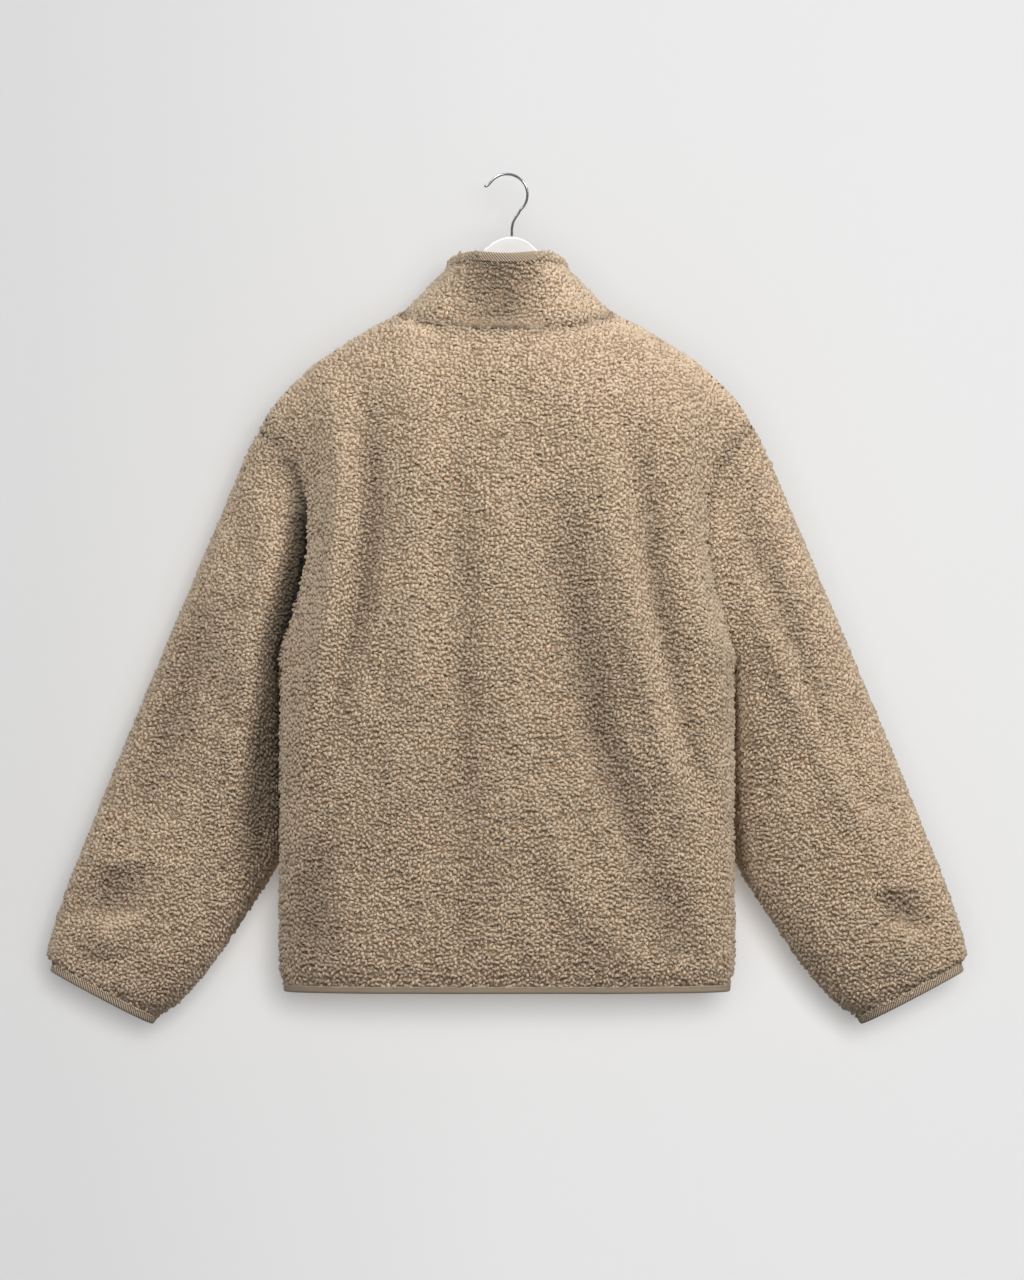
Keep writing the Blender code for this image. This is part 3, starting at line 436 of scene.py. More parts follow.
def collar(c, v, side):
    """Outside of the collar: c as in the neckline (0 to NECK_SHARE, signed), v seam to edge."""
    hand = np.where(c < 0, -1.0, 1.0)
    c = np.abs(c)
    turn = np.clip(c / NECK_SHARE, 0, 1) * np.pi / 2
    x0, y0, z0 = top_edge(np.minimum(c, NECK_SHARE * 0.999999), side)
    x1 = COLLAR_TOP_HALF_WIDTH * np.sin(turn)
    y1 = COLLAR_TOP_DEPTH[side] * np.cos(turn)
    z1 = (
        COLLAR_TOP_SIDE_Z
        + COLLAR_TOP_RISE[side] * np.cos(turn) ** 2
        + COLLAR_TOP_WAVE * np.sin(2 * turn) ** 2 * (side > 0)
    )
    waist = 1 - COLLAR_WAIST * np.sin(np.pi * np.clip(v, 0, 1)) * np.cos(turn) ** 2
    x = x0 + (x1 - x0) * v
    y = side * (y0 + (y1 - y0) * v) * waist + COLLAR_TOP_MID_Y * v
    if side > 0:
        bulge = sum(up * np.exp(-(((hand * x - at) / wide) ** 2)) for at, wide, up in COLLAR_DENTS)
        y = y + bulge * np.cos(turn) ** 0.5 * ease(v / 0.12) * (1 - 0.75 * v)
    z = z0 + (z1 - z0) * v + COLLAR_LIFT
    if side < 0:
        x = x + zip_shift(c)
    return np.stack(np.broadcast_arrays(hand * x, y, z), axis=-1)


def neck_normal(c, side):
    turn = np.clip(np.abs(c) / NECK_SHARE, 0, 1) * np.pi / 2
    rise = NECK_NORMAL_RISE * np.ones_like(turn)
    return unit(np.stack([np.sign(c) * np.sin(turn), side * np.cos(turn), rise], axis=-1))


def shoulder_normal(c):
    x, _, _ = top_edge(np.abs(c), 1)
    ahead = smooth(SHOULDER["x"], SHOULDER["z"], x + 0.002)
    behind = smooth(SHOULDER["x"], SHOULDER["z"], x - 0.002)
    fall = (behind - ahead) / 0.004
    return unit(np.stack([np.sign(c) * fall, 0 * x, 1 + 0 * x], axis=-1))


# ---------------------------------------------------------------- grids
def grid_normals(grid, outward):
    n = unit(np.cross(np.gradient(grid, axis=1), np.gradient(grid, axis=0)))
    flip = np.sign((n * outward).sum(axis=-1, keepdims=True))
    return n * np.where(flip == 0, 1, flip)


def body_grid(columns, rows, side):
    """Outer points of a panel and their outward directions, rows by columns."""
    c, t = np.meshgrid(columns, rows)
    outer = body(c, t, side)
    n = grid_normals(outer, np.stack([0 * c, side + 0 * c, 0 * c], axis=-1))
    for j in (0, len(columns) - 1):
        if abs(columns[j]) < 1:
            continue
        hand = np.sign(columns[j])
        turn = np.arccos(1 - 2 * armhole_share(rows)) / np.pi
        below = rows < UNDERARM_SHARE
        n[:, j] = np.where(below[:, None], [hand, 0, 0], armhole_normal(turn, side) * [hand, 1, 1])
    in_neck = np.abs(columns) <= NECK_SHARE + 1e-9
    n[-1] = np.where(in_neck[:, None], neck_normal(columns, side), shoulder_normal(columns))
    for j in (0, len(columns) - 1):
        if abs(columns[j]) == 1:
            n[-1, j] = armhole_normal(1.0, side) * [np.sign(columns[j]), 1, 1]
    n[0, :, 2] = 0
    n[0] = unit(n[0])
    return outer, n


def panel_columns():
    """Places across a half panel, with one column at the neck point."""
    return np.maximum(np.concatenate([
        NECK_SHARE * np.arange(NECK_COLUMNS) / NECK_COLUMNS,
        NECK_SHARE + (1 - NECK_SHARE) * np.arange(SHOULDER_COLUMNS + 1) / SHOULDER_COLUMNS,
    ]), ZIP_EDGE)


def panel_rows():
    """Places up a panel, with one row at the underarm."""
    low = UNDERARM_SHARE * np.arange(HEM_ROWS) / HEM_ROWS
    h = (1 - np.cos(np.pi * np.arange(ARMHOLE_ROWS + 1) / ARMHOLE_ROWS)) / 2
    return np.concatenate([low, UNDERARM_SHARE + (1 - UNDERARM_SHARE) * h])


def mesh_of(name, points, faces):
    """A mesh from arrays: points by 3, faces by their number of corners."""
    mesh = bpy.data.meshes.new(name)
    mesh.vertices.add(len(points))
    mesh.vertices.foreach_set("co", np.ascontiguousarray(points, np.float32).ravel())
    mesh.loops.add(faces.size)
    mesh.loops.foreach_set("vertex_index", np.ascontiguousarray(faces, np.int32).ravel())
    mesh.polygons.add(len(faces))
    mesh.polygons.foreach_set("loop_start", np.arange(0, faces.size, faces.shape[1], dtype=np.int32))
    mesh.update(calc_edges=True)
    mesh.shade_smooth()
    return mesh


def store(mesh, **values):
    """Puts one number a point on a mesh, for its material."""
    for name, value in values.items():
        layer = mesh.attributes.new(name, "FLOAT", "POINT")
        layer.data.foreach_set("value", np.ascontiguousarray(value, np.float32).ravel())


def place(name, mesh, look, body_name="jacket", replaces=()):
    """Puts a mesh in the scene as a piece that rides on a body."""
    made = bpy.data.objects.new(name, mesh)
    bpy.context.scene.collection.objects.link(made)
    mesh.materials.append(look)
    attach(made, body_name)
    if replaces:
        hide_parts(*replaces)
    return made


def grid_faces(rows, columns, closed=False, flip=False):
    at = np.arange(rows * columns).reshape(rows, columns)
    if closed:
        at = np.concatenate([at, at[:, :1]], axis=1)
    quads = np.stack([at[:-1, :-1], at[:-1, 1:], at[1:, 1:], at[1:, :-1]], axis=-1)
    quads = quads.reshape(-1, 4)
    return quads[:, ::-1] if flip else quads


def wall_mesh(name, outer, inner, closed=False):
    """A closed wall between two grids of points."""
    rows, columns = outer.shape[:2]
    count = rows * columns
    faces = [grid_faces(rows, columns, closed), grid_faces(rows, columns, closed, True) + count]
    at = np.arange(count).reshape(rows, columns)
    if closed:
        at = np.concatenate([at, at[:, :1]], axis=1)
    edges = [(at[0], 1), (at[-1], -1)]
    if not closed:
        edges += [(at[:, 0], -1), (at[:, -1], 1)]
    for edge, turn in edges:
        rim = np.stack([edge[:-1], edge[:-1] + count, edge[1:] + count, edge[1:]], axis=-1)
        faces.append(rim[:, ::turn])
    points = np.concatenate([outer.reshape(-1, 3), inner.reshape(-1, 3)])
    mesh = mesh_of(name, points, np.concatenate(faces))
    bm = bmesh.new()
    bm.from_mesh(mesh)
    bmesh.ops.recalc_face_normals(bm, faces=bm.faces)
    bm.to_mesh(mesh)
    bm.free()
    mesh.set_sharp_from_angle(angle=math.radians(50))
    store(mesh, outside=np.repeat([1.0, 0.0], count))
    return mesh


# ---------------------------------------------------------------- pile
def scatter(mesh, spacing, seed):
    """Even random places on a mesh, at least spacing apart: their points, normals and crests."""
    carrier = bpy.data.objects.new("carrier", mesh)
    bpy.context.scene.collection.objects.link(carrier)
    tree = bpy.data.node_groups.new("scatter", "GeometryNodeTree")
    tree.interface.new_socket("Geometry", in_out="INPUT", socket_type="NodeSocketGeometry")
    tree.interface.new_socket("Geometry", in_out="OUTPUT", socket_type="NodeSocketGeometry")
    start, end = tree.nodes.new("NodeGroupInput"), tree.nodes.new("NodeGroupOutput")
    spread = tree.nodes.new("GeometryNodeDistributePointsOnFaces")
    spread.distribute_method = "POISSON"
    spread.inputs["Distance Min"].default_value = spacing
    spread.inputs["Density Max"].default_value = 6 / spacing**2
    spread.inputs["Seed"].default_value = seed
    keep = tree.nodes.new("GeometryNodeStoreNamedAttribute")
    keep.data_type, keep.domain = "FLOAT_VECTOR", "POINT"
    keep.inputs["Name"].default_value = "outward"
    turn = tree.nodes.new("GeometryNodePointsToVertices")
    tree.links.new(start.outputs[0], spread.inputs["Mesh"])
    tree.links.new(spread.outputs["Points"], keep.inputs["Geometry"])
    tree.links.new(spread.outputs["Normal"], keep.inputs["Value"])
    tree.links.new(keep.outputs["Geometry"], turn.inputs["Points"])
    tree.links.new(turn.outputs[0], end.inputs[0])
    carrier.modifiers.new("scatter", "NODES").node_group = tree
    evaluated = carrier.evaluated_get(bpy.context.evaluated_depsgraph_get())
    found = evaluated.to_mesh()
    points = np.empty(len(found.vertices) * 3, np.float32)
    normals = np.empty_like(points)
    crest = np.empty(len(found.vertices), np.float32)
    found.vertices.foreach_get("co", points)
    found.attributes["outward"].data.foreach_get("vector", normals)
    found.attributes["crest"].data.foreach_get("value", crest)
    evaluated.to_mesh_clear()
    bpy.data.objects.remove(carrier, do_unlink=True)
    bpy.data.node_groups.remove(tree)
    return points.reshape(-1, 3), unit(normals.reshape(-1, 3)), crest


def partings(points, across, along, seed):
    """Where the pile parts in short lines that run across: 1 in the line, 0 away from it."""
    rng = np.random.default_rng(seed)
    field = np.zeros(len(points))
    patches = np.zeros(len(points))
    for _ in range(PARTING_WAVES):
        turn = 2 * np.pi * (
            rng.normal(0, 1 / across) * points[:, 0] + rng.normal(0, 1 / along) * points[:, 2]
        )
        field += np.cos(turn + rng.uniform(0, 2 * np.pi))
        patches += np.cos(0.35 * turn + rng.uniform(0, 2 * np.pi))
    line = np.exp(-((field / 0.55) ** 2))
    return (line * ease(patches / 3 + 0.3))[:, None]


def curls(points, normals, crest, spacing, seed):
    """One short bent curl at each place: 11 points and 12 triangles."""
    rng = np.random.default_rng(seed)
    count = len(points)

    def between(low, high):
        return rng.uniform(low, high, (count, 1))

    down = unit(np.array([0, 0, -1.0]) - normals * -normals[:, 2:3])
    across = unit(np.cross(normals, down))
    steep = ease((np.abs(normals[:, 0:1]) - 0.22) / 0.4)
    angle = between(-1, 1) * np.pi / 2 * (1 - 0.5 * steep) + np.pi / 2 * steep
    along = across * np.cos(angle) + down * np.sin(angle)
    beside = np.cross(normals, along)
    parted = (
        partings(points, PARTING_LENGTH, PARTING_WIDTH, seed) * (1 - steep)
        + partings(points, PARTING_WIDTH, PARTING_LENGTH, seed + 1) * steep
    )
    size = spacing / SPACING["seen"]
    half_length = between(*CURL["half_length"]) * size
    half_width = between(*CURL["half_width"]) * size
    height = between(*CURL["height"]) * (1 - 0.45 * parted)
    bend = between(*CURL["bend"])
    lean = between(*CURL["lean"])
    sag = between(*CURL["sag"])
    root = points - normals * CURL_ROOT
    made = []
    tips = []
    for a, full in CURL_STATIONS:
        middle = root + along * half_length * a + beside * half_length * bend * (a * a - 0.35)
        if full == 0:
            made.append(middle)
            tips.append(0.0)
            continue
        top = height * full * between(*CURL["crown"])
        crown = middle + normals * top + beside * lean * top + down * sag * top * 0.6
        made += [middle - beside * half_width * full, crown, middle + beside * half_width * full]
        tips += [0.0, 1.0, 0.0]
    verts = np.stack(made, axis=1)
    faces = (CURL_FACES[None] + CURL_POINTS * np.arange(count)[:, None, None]).reshape(-1, 3)
    tip = np.tile(tips, count)
    # A random tone for each curl, painted darker in the partings as shade in the cracks.
    tone = rng.uniform(0, 1, count) - 0.9 * parted[:, 0]
    tone, crest = (np.repeat(value, CURL_POINTS) for value in (tone, crest))
    return verts.reshape(-1, 3), faces, tip, tone, crest


def pile(name, grid, outward, crest, spacing, seed, look):
    """Curly pile over a grid of points."""
    rows, columns = grid.shape[:2]
    faces = grid_faces(rows, columns)
    a, b, d = (grid.reshape(-1, 3)[faces[:, i]] for i in (0, 1, 3))
    outer = outward.reshape(-1, 3)[faces[:, 0]]
    if (np.cross(b - a, d - a) * outer).sum() < 0:
        faces = faces[:, ::-1]
    carrier = mesh_of("carrier", grid.reshape(-1, 3), faces)
    store(carrier, crest=crest)
    places = scatter(carrier, spacing, seed)
    verts, faces, tip, tone, crests = curls(*places, spacing, seed)
    mesh = mesh_of(name, verts, faces)
    store(mesh, tip=tip, tone=tone, crest=crests)
    return place(name, mesh, look)


# ---------------------------------------------------------------- materials
class Look:
    """Builds a material's nodes with few words."""

    def __init__(self, name):
        self.material = bpy.data.materials.new(name)
        self.material.use_nodes = True
        self.tree = self.material.node_tree
        self.shader = self.tree.nodes["Principled BSDF"]

    def node(self, kind, **settings):
        made = self.tree.nodes.new("ShaderNode" + kind)
        for key, value in settings.items():
            setattr(made, key, value)
        return made

    def link(self, source, target):
        self.tree.links.new(source, target)

    def places(self, stretch=(1, 1, 1)):
        coordinates = self.node("TexCoord")
        mapping = self.node("Mapping")
        mapping.inputs["Scale"].default_value = stretch
        self.link(coordinates.outputs["Object"], mapping.inputs["Vector"])
        return mapping.outputs["Vector"]

    def noise(self, scale, detail=2.0, stretch=(1, 1, 1), distortion=0.0):
        made = self.node("TexNoise")
        made.inputs["Scale"].default_value = scale
        made.inputs["Detail"].default_value = detail
        made.inputs["Distortion"].default_value = distortion
        self.link(self.places(stretch), made.inputs["Vector"])
        return made.outputs["Fac"]

    def attribute(self, name):
        return self.node("Attribute", attribute_name=name).outputs["Fac"]

    def math(self, kind, a, b=None, c=None):
        made = self.node("Math", operation=kind)
        for i, value in enumerate((a, b, c)):
            if value is None:
                continue
            if isinstance(value, (int, float)):
                made.inputs[i].default_value = value
            else:
                self.link(value, made.inputs[i])
        return made.outputs[0]

    def ramp(self, source, stops):
        made = self.node("ValToRGB")
        ramp = made.color_ramp
        while len(ramp.elements) < len(stops):
            ramp.elements.new(0.5)
        for element, (position, colour) in zip(ramp.elements, stops):
            element.position = position
            element.color = (*colour, 1)
        self.link(source, made.inputs["Fac"])
        return made.outputs["Color"]

    def mix(self, kind, factor, a, b):
        made = self.node("Mix", data_type="RGBA", blend_type=kind)
        for i, value in ((0, factor), (6, a), (7, b)):
            if isinstance(value, (int, float)):
                made.inputs[i].default_value = value
            elif isinstance(value, tuple):
                made.inputs[i].default_value = (*value, 1)
            else:
                self.link(value, made.inputs[i])
        return made.outputs[2]

    def bump(self, height, distance, strength=1.0, before=None):
        made = self.node("Bump")
        made.inputs["Strength"].default_value = strength
        made.inputs["Distance"].default_value = distance
        self.link(height, made.inputs["Height"])
        if before is not None:
            self.link(before, made.inputs["Normal"])
        return made.outputs["Normal"]

    def finish(self, colour, normal=None, roughness=None, **constants):
        self.link(colour, self.shader.inputs["Base Color"])
        if normal is not None:
            self.link(normal, self.shader.inputs["Normal"])
        if roughness is not None:
            self.link(roughness, self.shader.inputs["Roughness"])
        for key, value in constants.items():
            self.shader.inputs[key.replace("_", " ")].default_value = value
        return self.material


def pile_look():
    look = Look("sherpa_pile")
    fibres = look.noise(900, 3.0, distortion=0.8)
    tip = look.math("ADD", look.attribute("tip"), look.math("MULTIPLY_ADD", fibres, 0.9, -0.45))
    # The curls' tan is painted dark at their roots and pale at their crowns: painted shade in the cracks
    # between the curls.
    colour = look.ramp(
        tip,
        (
            (0.02, (0.300, 0.172, 0.088)),
            (0.20, (0.460, 0.320, 0.200)),
            (0.40, (0.585, 0.455, 0.325)),
            (1.0, (0.700, 0.575, 0.435)),
        ),
    )
    # The curls' tone is random, with painted shade in the partings; the patches are random.
    tone = look.math("MULTIPLY_ADD", look.attribute("tone"), 0.26, 0.86)
    patches = look.math("MULTIPLY_ADD", look.noise(14, 2.0), 0.24, 0.88)
    # Painted shade: the pile is darkened where the crest is below zero, in the hollows of folds, along the
    # seams and beside the body.
    hollow = look.math("MINIMUM", look.attribute("crest"), 0.0)
    shade = look.math("MULTIPLY", look.math("MULTIPLY", tone, patches),
                      look.math("MULTIPLY_ADD", hollow, HOLLOW_SHADE, 1.0))
    grey = look.node("CombineColor")
    for socket in grey.inputs:
        look.link(shade, socket)
    colour = look.mix("MULTIPLY", 1.0, colour, grey.outputs[0])
    pale = look.math("MULTIPLY", look.math("MAXIMUM", look.attribute("crest"), 0.0), 0.45)
    colour = look.mix("MIX", pale, colour, (0.600, 0.490, 0.360))
    normal = look.bump(fibres, 0.0005, 0.6)
    return look.finish(
        colour, normal, Roughness=0.95, Specular_IOR_Level=0.15,
        Sheen_Weight=0.25, Sheen_Roughness=0.55, Sheen_Tint=(0.95, 0.85, 0.72, 1),
    )


def backing_look():
    """Short pile with thin partings on the outside, painted dark as shade in the cracks, and plain knit on
    the inside.
    """
    look = Look("knit_backing")
    knit = look.noise(700, 2.0, stretch=(1, 1, 1.6))
    inside = look.ramp(knit, ((0.3, (0.235, 0.155, 0.095)), (0.7, (0.325, 0.232, 0.150))))
    drift = look.node("TexNoise")
    drift.inputs["Scale"].default_value = 240
    look.link(look.places(), drift.inputs["Vector"])
    bent = look.node("VectorMath", operation="MULTIPLY_ADD")
    bent.inputs[1].default_value = (0.005, 0.005, 0.005)
    look.link(drift.outputs["Color"], bent.inputs[0])
    look.link(look.places(), bent.inputs[2])
    cells = look.node("TexVoronoi", feature="DISTANCE_TO_EDGE")
    cells.inputs["Scale"].default_value = 340
    look.link(bent.outputs[0], cells.inputs["Vector"])
    reach = cells.outputs["Distance"]
    # The edges of the cells are painted dark: painted shade in the partings.
    outside = look.ramp(
        reach,
        (
            (0.0, (0.265, 0.145, 0.072)),
            (0.10, (0.465, 0.322, 0.202)),
            (0.30, (0.640, 0.505, 0.370)),
        ),
    )
    # Painted shade: the outside is darkened towards near-black where the crest is below zero, in the same
    # hollows as the pile.
    hollow = look.math("MINIMUM", look.attribute("crest"), 0.0)
    outside = look.mix("MIX", look.math("MULTIPLY", hollow, -HOLLOW_SHADE), outside, (0.02, 0.01, 0.005))
    shown = look.attribute("outside")
    colour = look.mix("MIX", shown, inside, outside)
    fur = look.bump(look.math("MULTIPLY", look.math("MINIMUM", reach, 0.3), shown), 0.004, 0.9)
    return look.finish(
        colour, look.bump(knit, 0.0004, 0.6, fur),
        Roughness=0.95, Specular_IOR_Level=0.1, Sheen_Weight=0.15,
    )


def binding_look():
    look = Look("binding_tape")
    turn = look.math("MULTIPLY", look.attribute("rib_phase"), 2 * math.pi)
    rib = look.math("MULTIPLY_ADD", look.math("COSINE", turn), 0.5, 0.5)
    weave = look.noise(1800, 2.0)
    colour = look.ramp(rib, ((0.0, (0.150, 0.095, 0.058)), (0.45, (0.400, 0.308, 0.212)),
                             (1.0, (0.660, 0.555, 0.430))))
    tone = look.ramp(weave, ((0.3, (0.82, 0.82, 0.82)), (0.7, (1.06, 1.06, 1.06))))
    colour = look.mix("MULTIPLY", 1.0, colour, tone)
    normal = look.bump(weave, 0.0002, 0.6, look.bump(rib, 0.0005, 0.8))
    return look.finish(colour, normal, Roughness=0.80, Specular_IOR_Level=0.25, Sheen_Weight=0.15)


def thread_look():
    look = Look("sewing_thread")
    twist = look.noise(2600, 1.0)
    colour = look.ramp(twist, ((0.3, (0.400, 0.300, 0.200)), (0.7, (0.560, 0.450, 0.330))))
    return look.finish(colour, look.bump(twist, 0.0001), Roughness=0.6)


def zip_tape_look():
    look = Look("zip_tape_weave")
    wave = look.node("TexWave", wave_type="BANDS", bands_direction="Z")
    wave.inputs["Scale"].default_value = 420
    wave.inputs["Distortion"].default_value = 0.6
    look.link(look.places(), wave.inputs["Vector"])
    colour = look.ramp(wave.outputs["Fac"], ((0.1, (0.300, 0.225, 0.150)), (0.9, (0.440, 0.345, 0.240))))
    normal = look.bump(wave.outputs["Fac"], 0.0002, 0.7)
    return look.finish(colour, normal, Roughness=0.85)


def teeth_look():
    look = Look("zip_teeth")
    grain = look.noise(400, 2.0)
    colour = look.ramp(grain, ((0.3, (0.270, 0.200, 0.135)), (0.7, (0.350, 0.265, 0.185))))
    rough = look.math("MULTIPLY_ADD", grain, 0.2, 0.3)
    return look.finish(colour, look.bump(grain, 0.0001, 0.3), rough)


def metal_look(name, colour, roughness, wear):
    look = Look(name)
    grain = look.noise(240, 4.0, stretch=(6, 6, 1))
    tone = look.ramp(
        grain, ((0.3, tuple(v * (1 - wear) for v in colour)), (0.7, colour))
    )
    rough = look.math("MULTIPLY_ADD", grain, 0.16, roughness)
    return look.finish(tone, look.bump(grain, 0.00003, 0.3), rough, Metallic=1.0)


def hanger_look():
    look = Look("white_lacquer")
    grain = look.noise(60, 3.0, stretch=(1, 1, 3))
    colour = look.ramp(grain, ((0.3, (0.800, 0.800, 0.790)), (0.7, (0.860, 0.860, 0.850))))
    rough = look.math("MULTIPLY_ADD", grain, 0.12, 0.24)
    return look.finish(colour, look.bump(grain, 0.0001, 0.15), rough, Coat_Weight=0.25)


# ---------------------------------------------------------------- cloth
def crest_of(grid, folds):
    """Where the cloth stands up (1) or lies in a hollow (-1)."""
    return np.clip(relief(grid[..., 0], grid[..., 2], folds) / FOLD_HEIGHT, -1, 1)


def painted_shade_beside_body(grid):
    """Depth of the painted shade in the hollow between the left sleeve and the body's edge."""
    edge = smooth(column(BODY, 0), column(BODY, 1), grid[..., 2])
    out = np.clip(grid[..., 0] - edge, 0, None)
    keys = column(SLEEVE_PAINTED_SHADE, 0)
    reach = np.interp(grid[..., 2], keys, column(SLEEVE_PAINTED_SHADE, 1))
    depth = np.interp(grid[..., 2], keys, column(SLEEVE_PAINTED_SHADE, 2))
    return depth * np.minimum(1.5 * np.exp(-((out / reach) ** 2)), 1)


def painted_shade_along_seams(grid):
    """Depth of the painted shade in the hollows along the seams of the collar and of the sleeves."""
    c = np.linspace(-NECK_SHARE, NECK_SHARE, SEAM_POINTS["neck"])
    w = np.linspace(0, 1, SEAM_POINTS["armhole"])
    seams = {
        "neck": [collar(c, np.zeros_like(c), side) for side in (-1, 1)],
        "armhole": [sleeve(0 * w, w, side, hand) for side in (-1, 1) for hand in (-1, 1)],
    }
    total = np.zeros(grid.shape[:2])
    for name, (reach, depth) in SEAM_PAINTED_SHADE.items():
        gap = np.linalg.norm(grid[..., None, :] - np.concatenate(seams[name]), axis=-1)
        total += depth * np.exp(-((gap.min(axis=-1) / reach) ** 2))
    return total


def lengthened(grid, step=0.0):
    """The grid with its last row once more, a step further on."""
    return np.concatenate([grid, grid[-1:] + step])


PILE = pile_look()
BACKING = backing_look()
BINDING = binding_look()
THREAD = thread_look()


def finish_shell(name, outer, inner, node, crest, closed=False):
    mesh = wall_mesh(name, outer, inner, closed)
    store(mesh, crest=np.concatenate([crest.ravel(), 0 * crest.ravel()]))
    return place(name, mesh, BACKING, replaces=[node])


def add_body():
    """Back and fronts with their pile, and the hem edge of each, outside and inside."""
    half, rows = panel_columns(), panel_rows()
    across = np.concatenate([-half[:0:-1], half])
    panels = {
        "back": (across, 1),
        "front_left": (half, -1),
        "front_right": (-half[::-1], -1),
    }
    shells = {}
    edges = {}
    for name, (columns, side) in panels.items():
        outer, n = body_grid(columns, rows, side)
        skin, inner = outer - BACKING_DEPTH * n, outer - WALL * n
        for j in (0, len(columns) - 1):
            if abs(columns[j]) < 0.01:
                at = ZIP_HALF_GAP if columns[j] > 0 else -ZIP_HALF_GAP
                skin[:, j, 0] = inner[:, j, 0] = at
        folds = FOLDS["back" if side > 0 else "front"]
        # The crest holds the folds' height, less the painted shade along the seams.
        crest = crest_of(skin, folds) - painted_shade_along_seams(skin)
        shells[name] = finish_shell(f"{name}_cloth", skin, inner, name, crest)
        edges[name] = (outer[0], (outer - WALL * n)[0])
        spacing = SPACING["seen" if side > 0 else "hidden"]
        skin, n = lengthened(skin, [0, 0, -PILE_HANG]), lengthened(n)
        crest = lengthened(crest)
        if name == "back":
            middle = len(columns) // 2
            for part, cut in (("right", slice(None, middle + 1)), ("left", slice(middle, None))):
                shells[f"back_{part}_pile"] = pile(
                    f"back_pile_{part}", skin[:, cut], n[:, cut], crest[:, cut],
                    spacing, SEEDS["back"] + (part == "left"), PILE,
                )
        else:
            shells[f"{name}_pile"] = pile(f"{name}_pile", skin, n, crest, spacing,
                                          SEEDS["front"] + (name == "front_left"), PILE)
    return shells, edges


def cuff_direction(hand):
    x_out, z_out, x_in, z_in = SLEEVE[-1][:4]
    return unit(np.array([hand * (z_out - z_in), 0, x_in - x_out]))


def sleeve_normals(outer, s, seam, run):
    """Outward directions of a sleeve, drawn to the seam's at the armhole and square to the cuff."""
    ring = np.concatenate([outer[:, -1:], outer, outer[:, :1]], axis=1)
    n = np.cross(ring[:, 2:] - ring[:, :-2], np.gradient(outer, axis=0))
    n = unit(n * np.sign((n * (outer - outer.mean(axis=1, keepdims=True))).sum()))
    share = ease(s / SEAM_NORMAL_FADE)[:, None, None]
    n = seam * (1 - share) + n * share
    n[-1] -= run * (n[-1] @ run)[:, None]
    return unit(n)


def add_sleeve(hand, name):
    """A sleeve with its pile, and the cuff's edge, outside and inside."""
    s = np.linspace(0, 1, SLEEVE_RINGS)
    turn = np.linspace(0, 1, SLEEVE_HALF_RING)
    w = np.concatenate([turn, turn[-2:0:-1]])
    side = np.concatenate([np.ones(len(turn)), -np.ones(len(turn) - 2)])
    outer = np.stack([sleeve(s, np.full_like(s, a), b, hand) for a, b in zip(w, side)], axis=1)
    seam = np.stack([armhole_normal(a, b) * [hand, 1, 1] for a, b in zip(w, side)])
    n = sleeve_normals(outer, s, seam, cuff_direction(hand))
    skins = [outer - depth * n for depth in (0.0, BACKING_DEPTH, WALL)]
    seen = np.broadcast_to(side > 0, outer.shape[:2])
    folded = [crest_of(outer, FOLDS[f"sleeve_{part}"]) for part in ("back", "front")]
    crest = np.where(seen, *folded)
    # Painted shade along the seams is taken off the crest.
    crest = crest - painted_shade_along_seams(outer)
    # The left sleeve's crest takes painted shade beside the body's edge.
    if hand > 0:
        crest = crest - painted_shade_beside_body(outer) * seen
    shell = finish_shell(f"sleeve_{name}_cloth", skins[1], skins[2], f"sleeve_{name}", crest, True)
    grown = []
    count = len(turn)
    halves = {
        "back": (np.arange(count), 1, "seen"),
        "front": (np.append(np.arange(count - 1, len(w)), 0), -1, "hidden"),
    }
    for part, (at, toward, density) in halves.items():
        grid = lengthened(skins[1][:, at], cuff_direction(hand) * PILE_HANG)
        outward = np.broadcast_to([0.0, toward, 0.0], grid.shape)
        grown.append(
            pile(f"sleeve_{name}_pile_{part}", grid, outward, lengthened(crest[:, at]),
                 SPACING[density], SEEDS["sleeve"] + (hand > 0) + 2 * (part == "back"), PILE)
        )
    return shell, skins[0][-1], skins[2][-1], grown


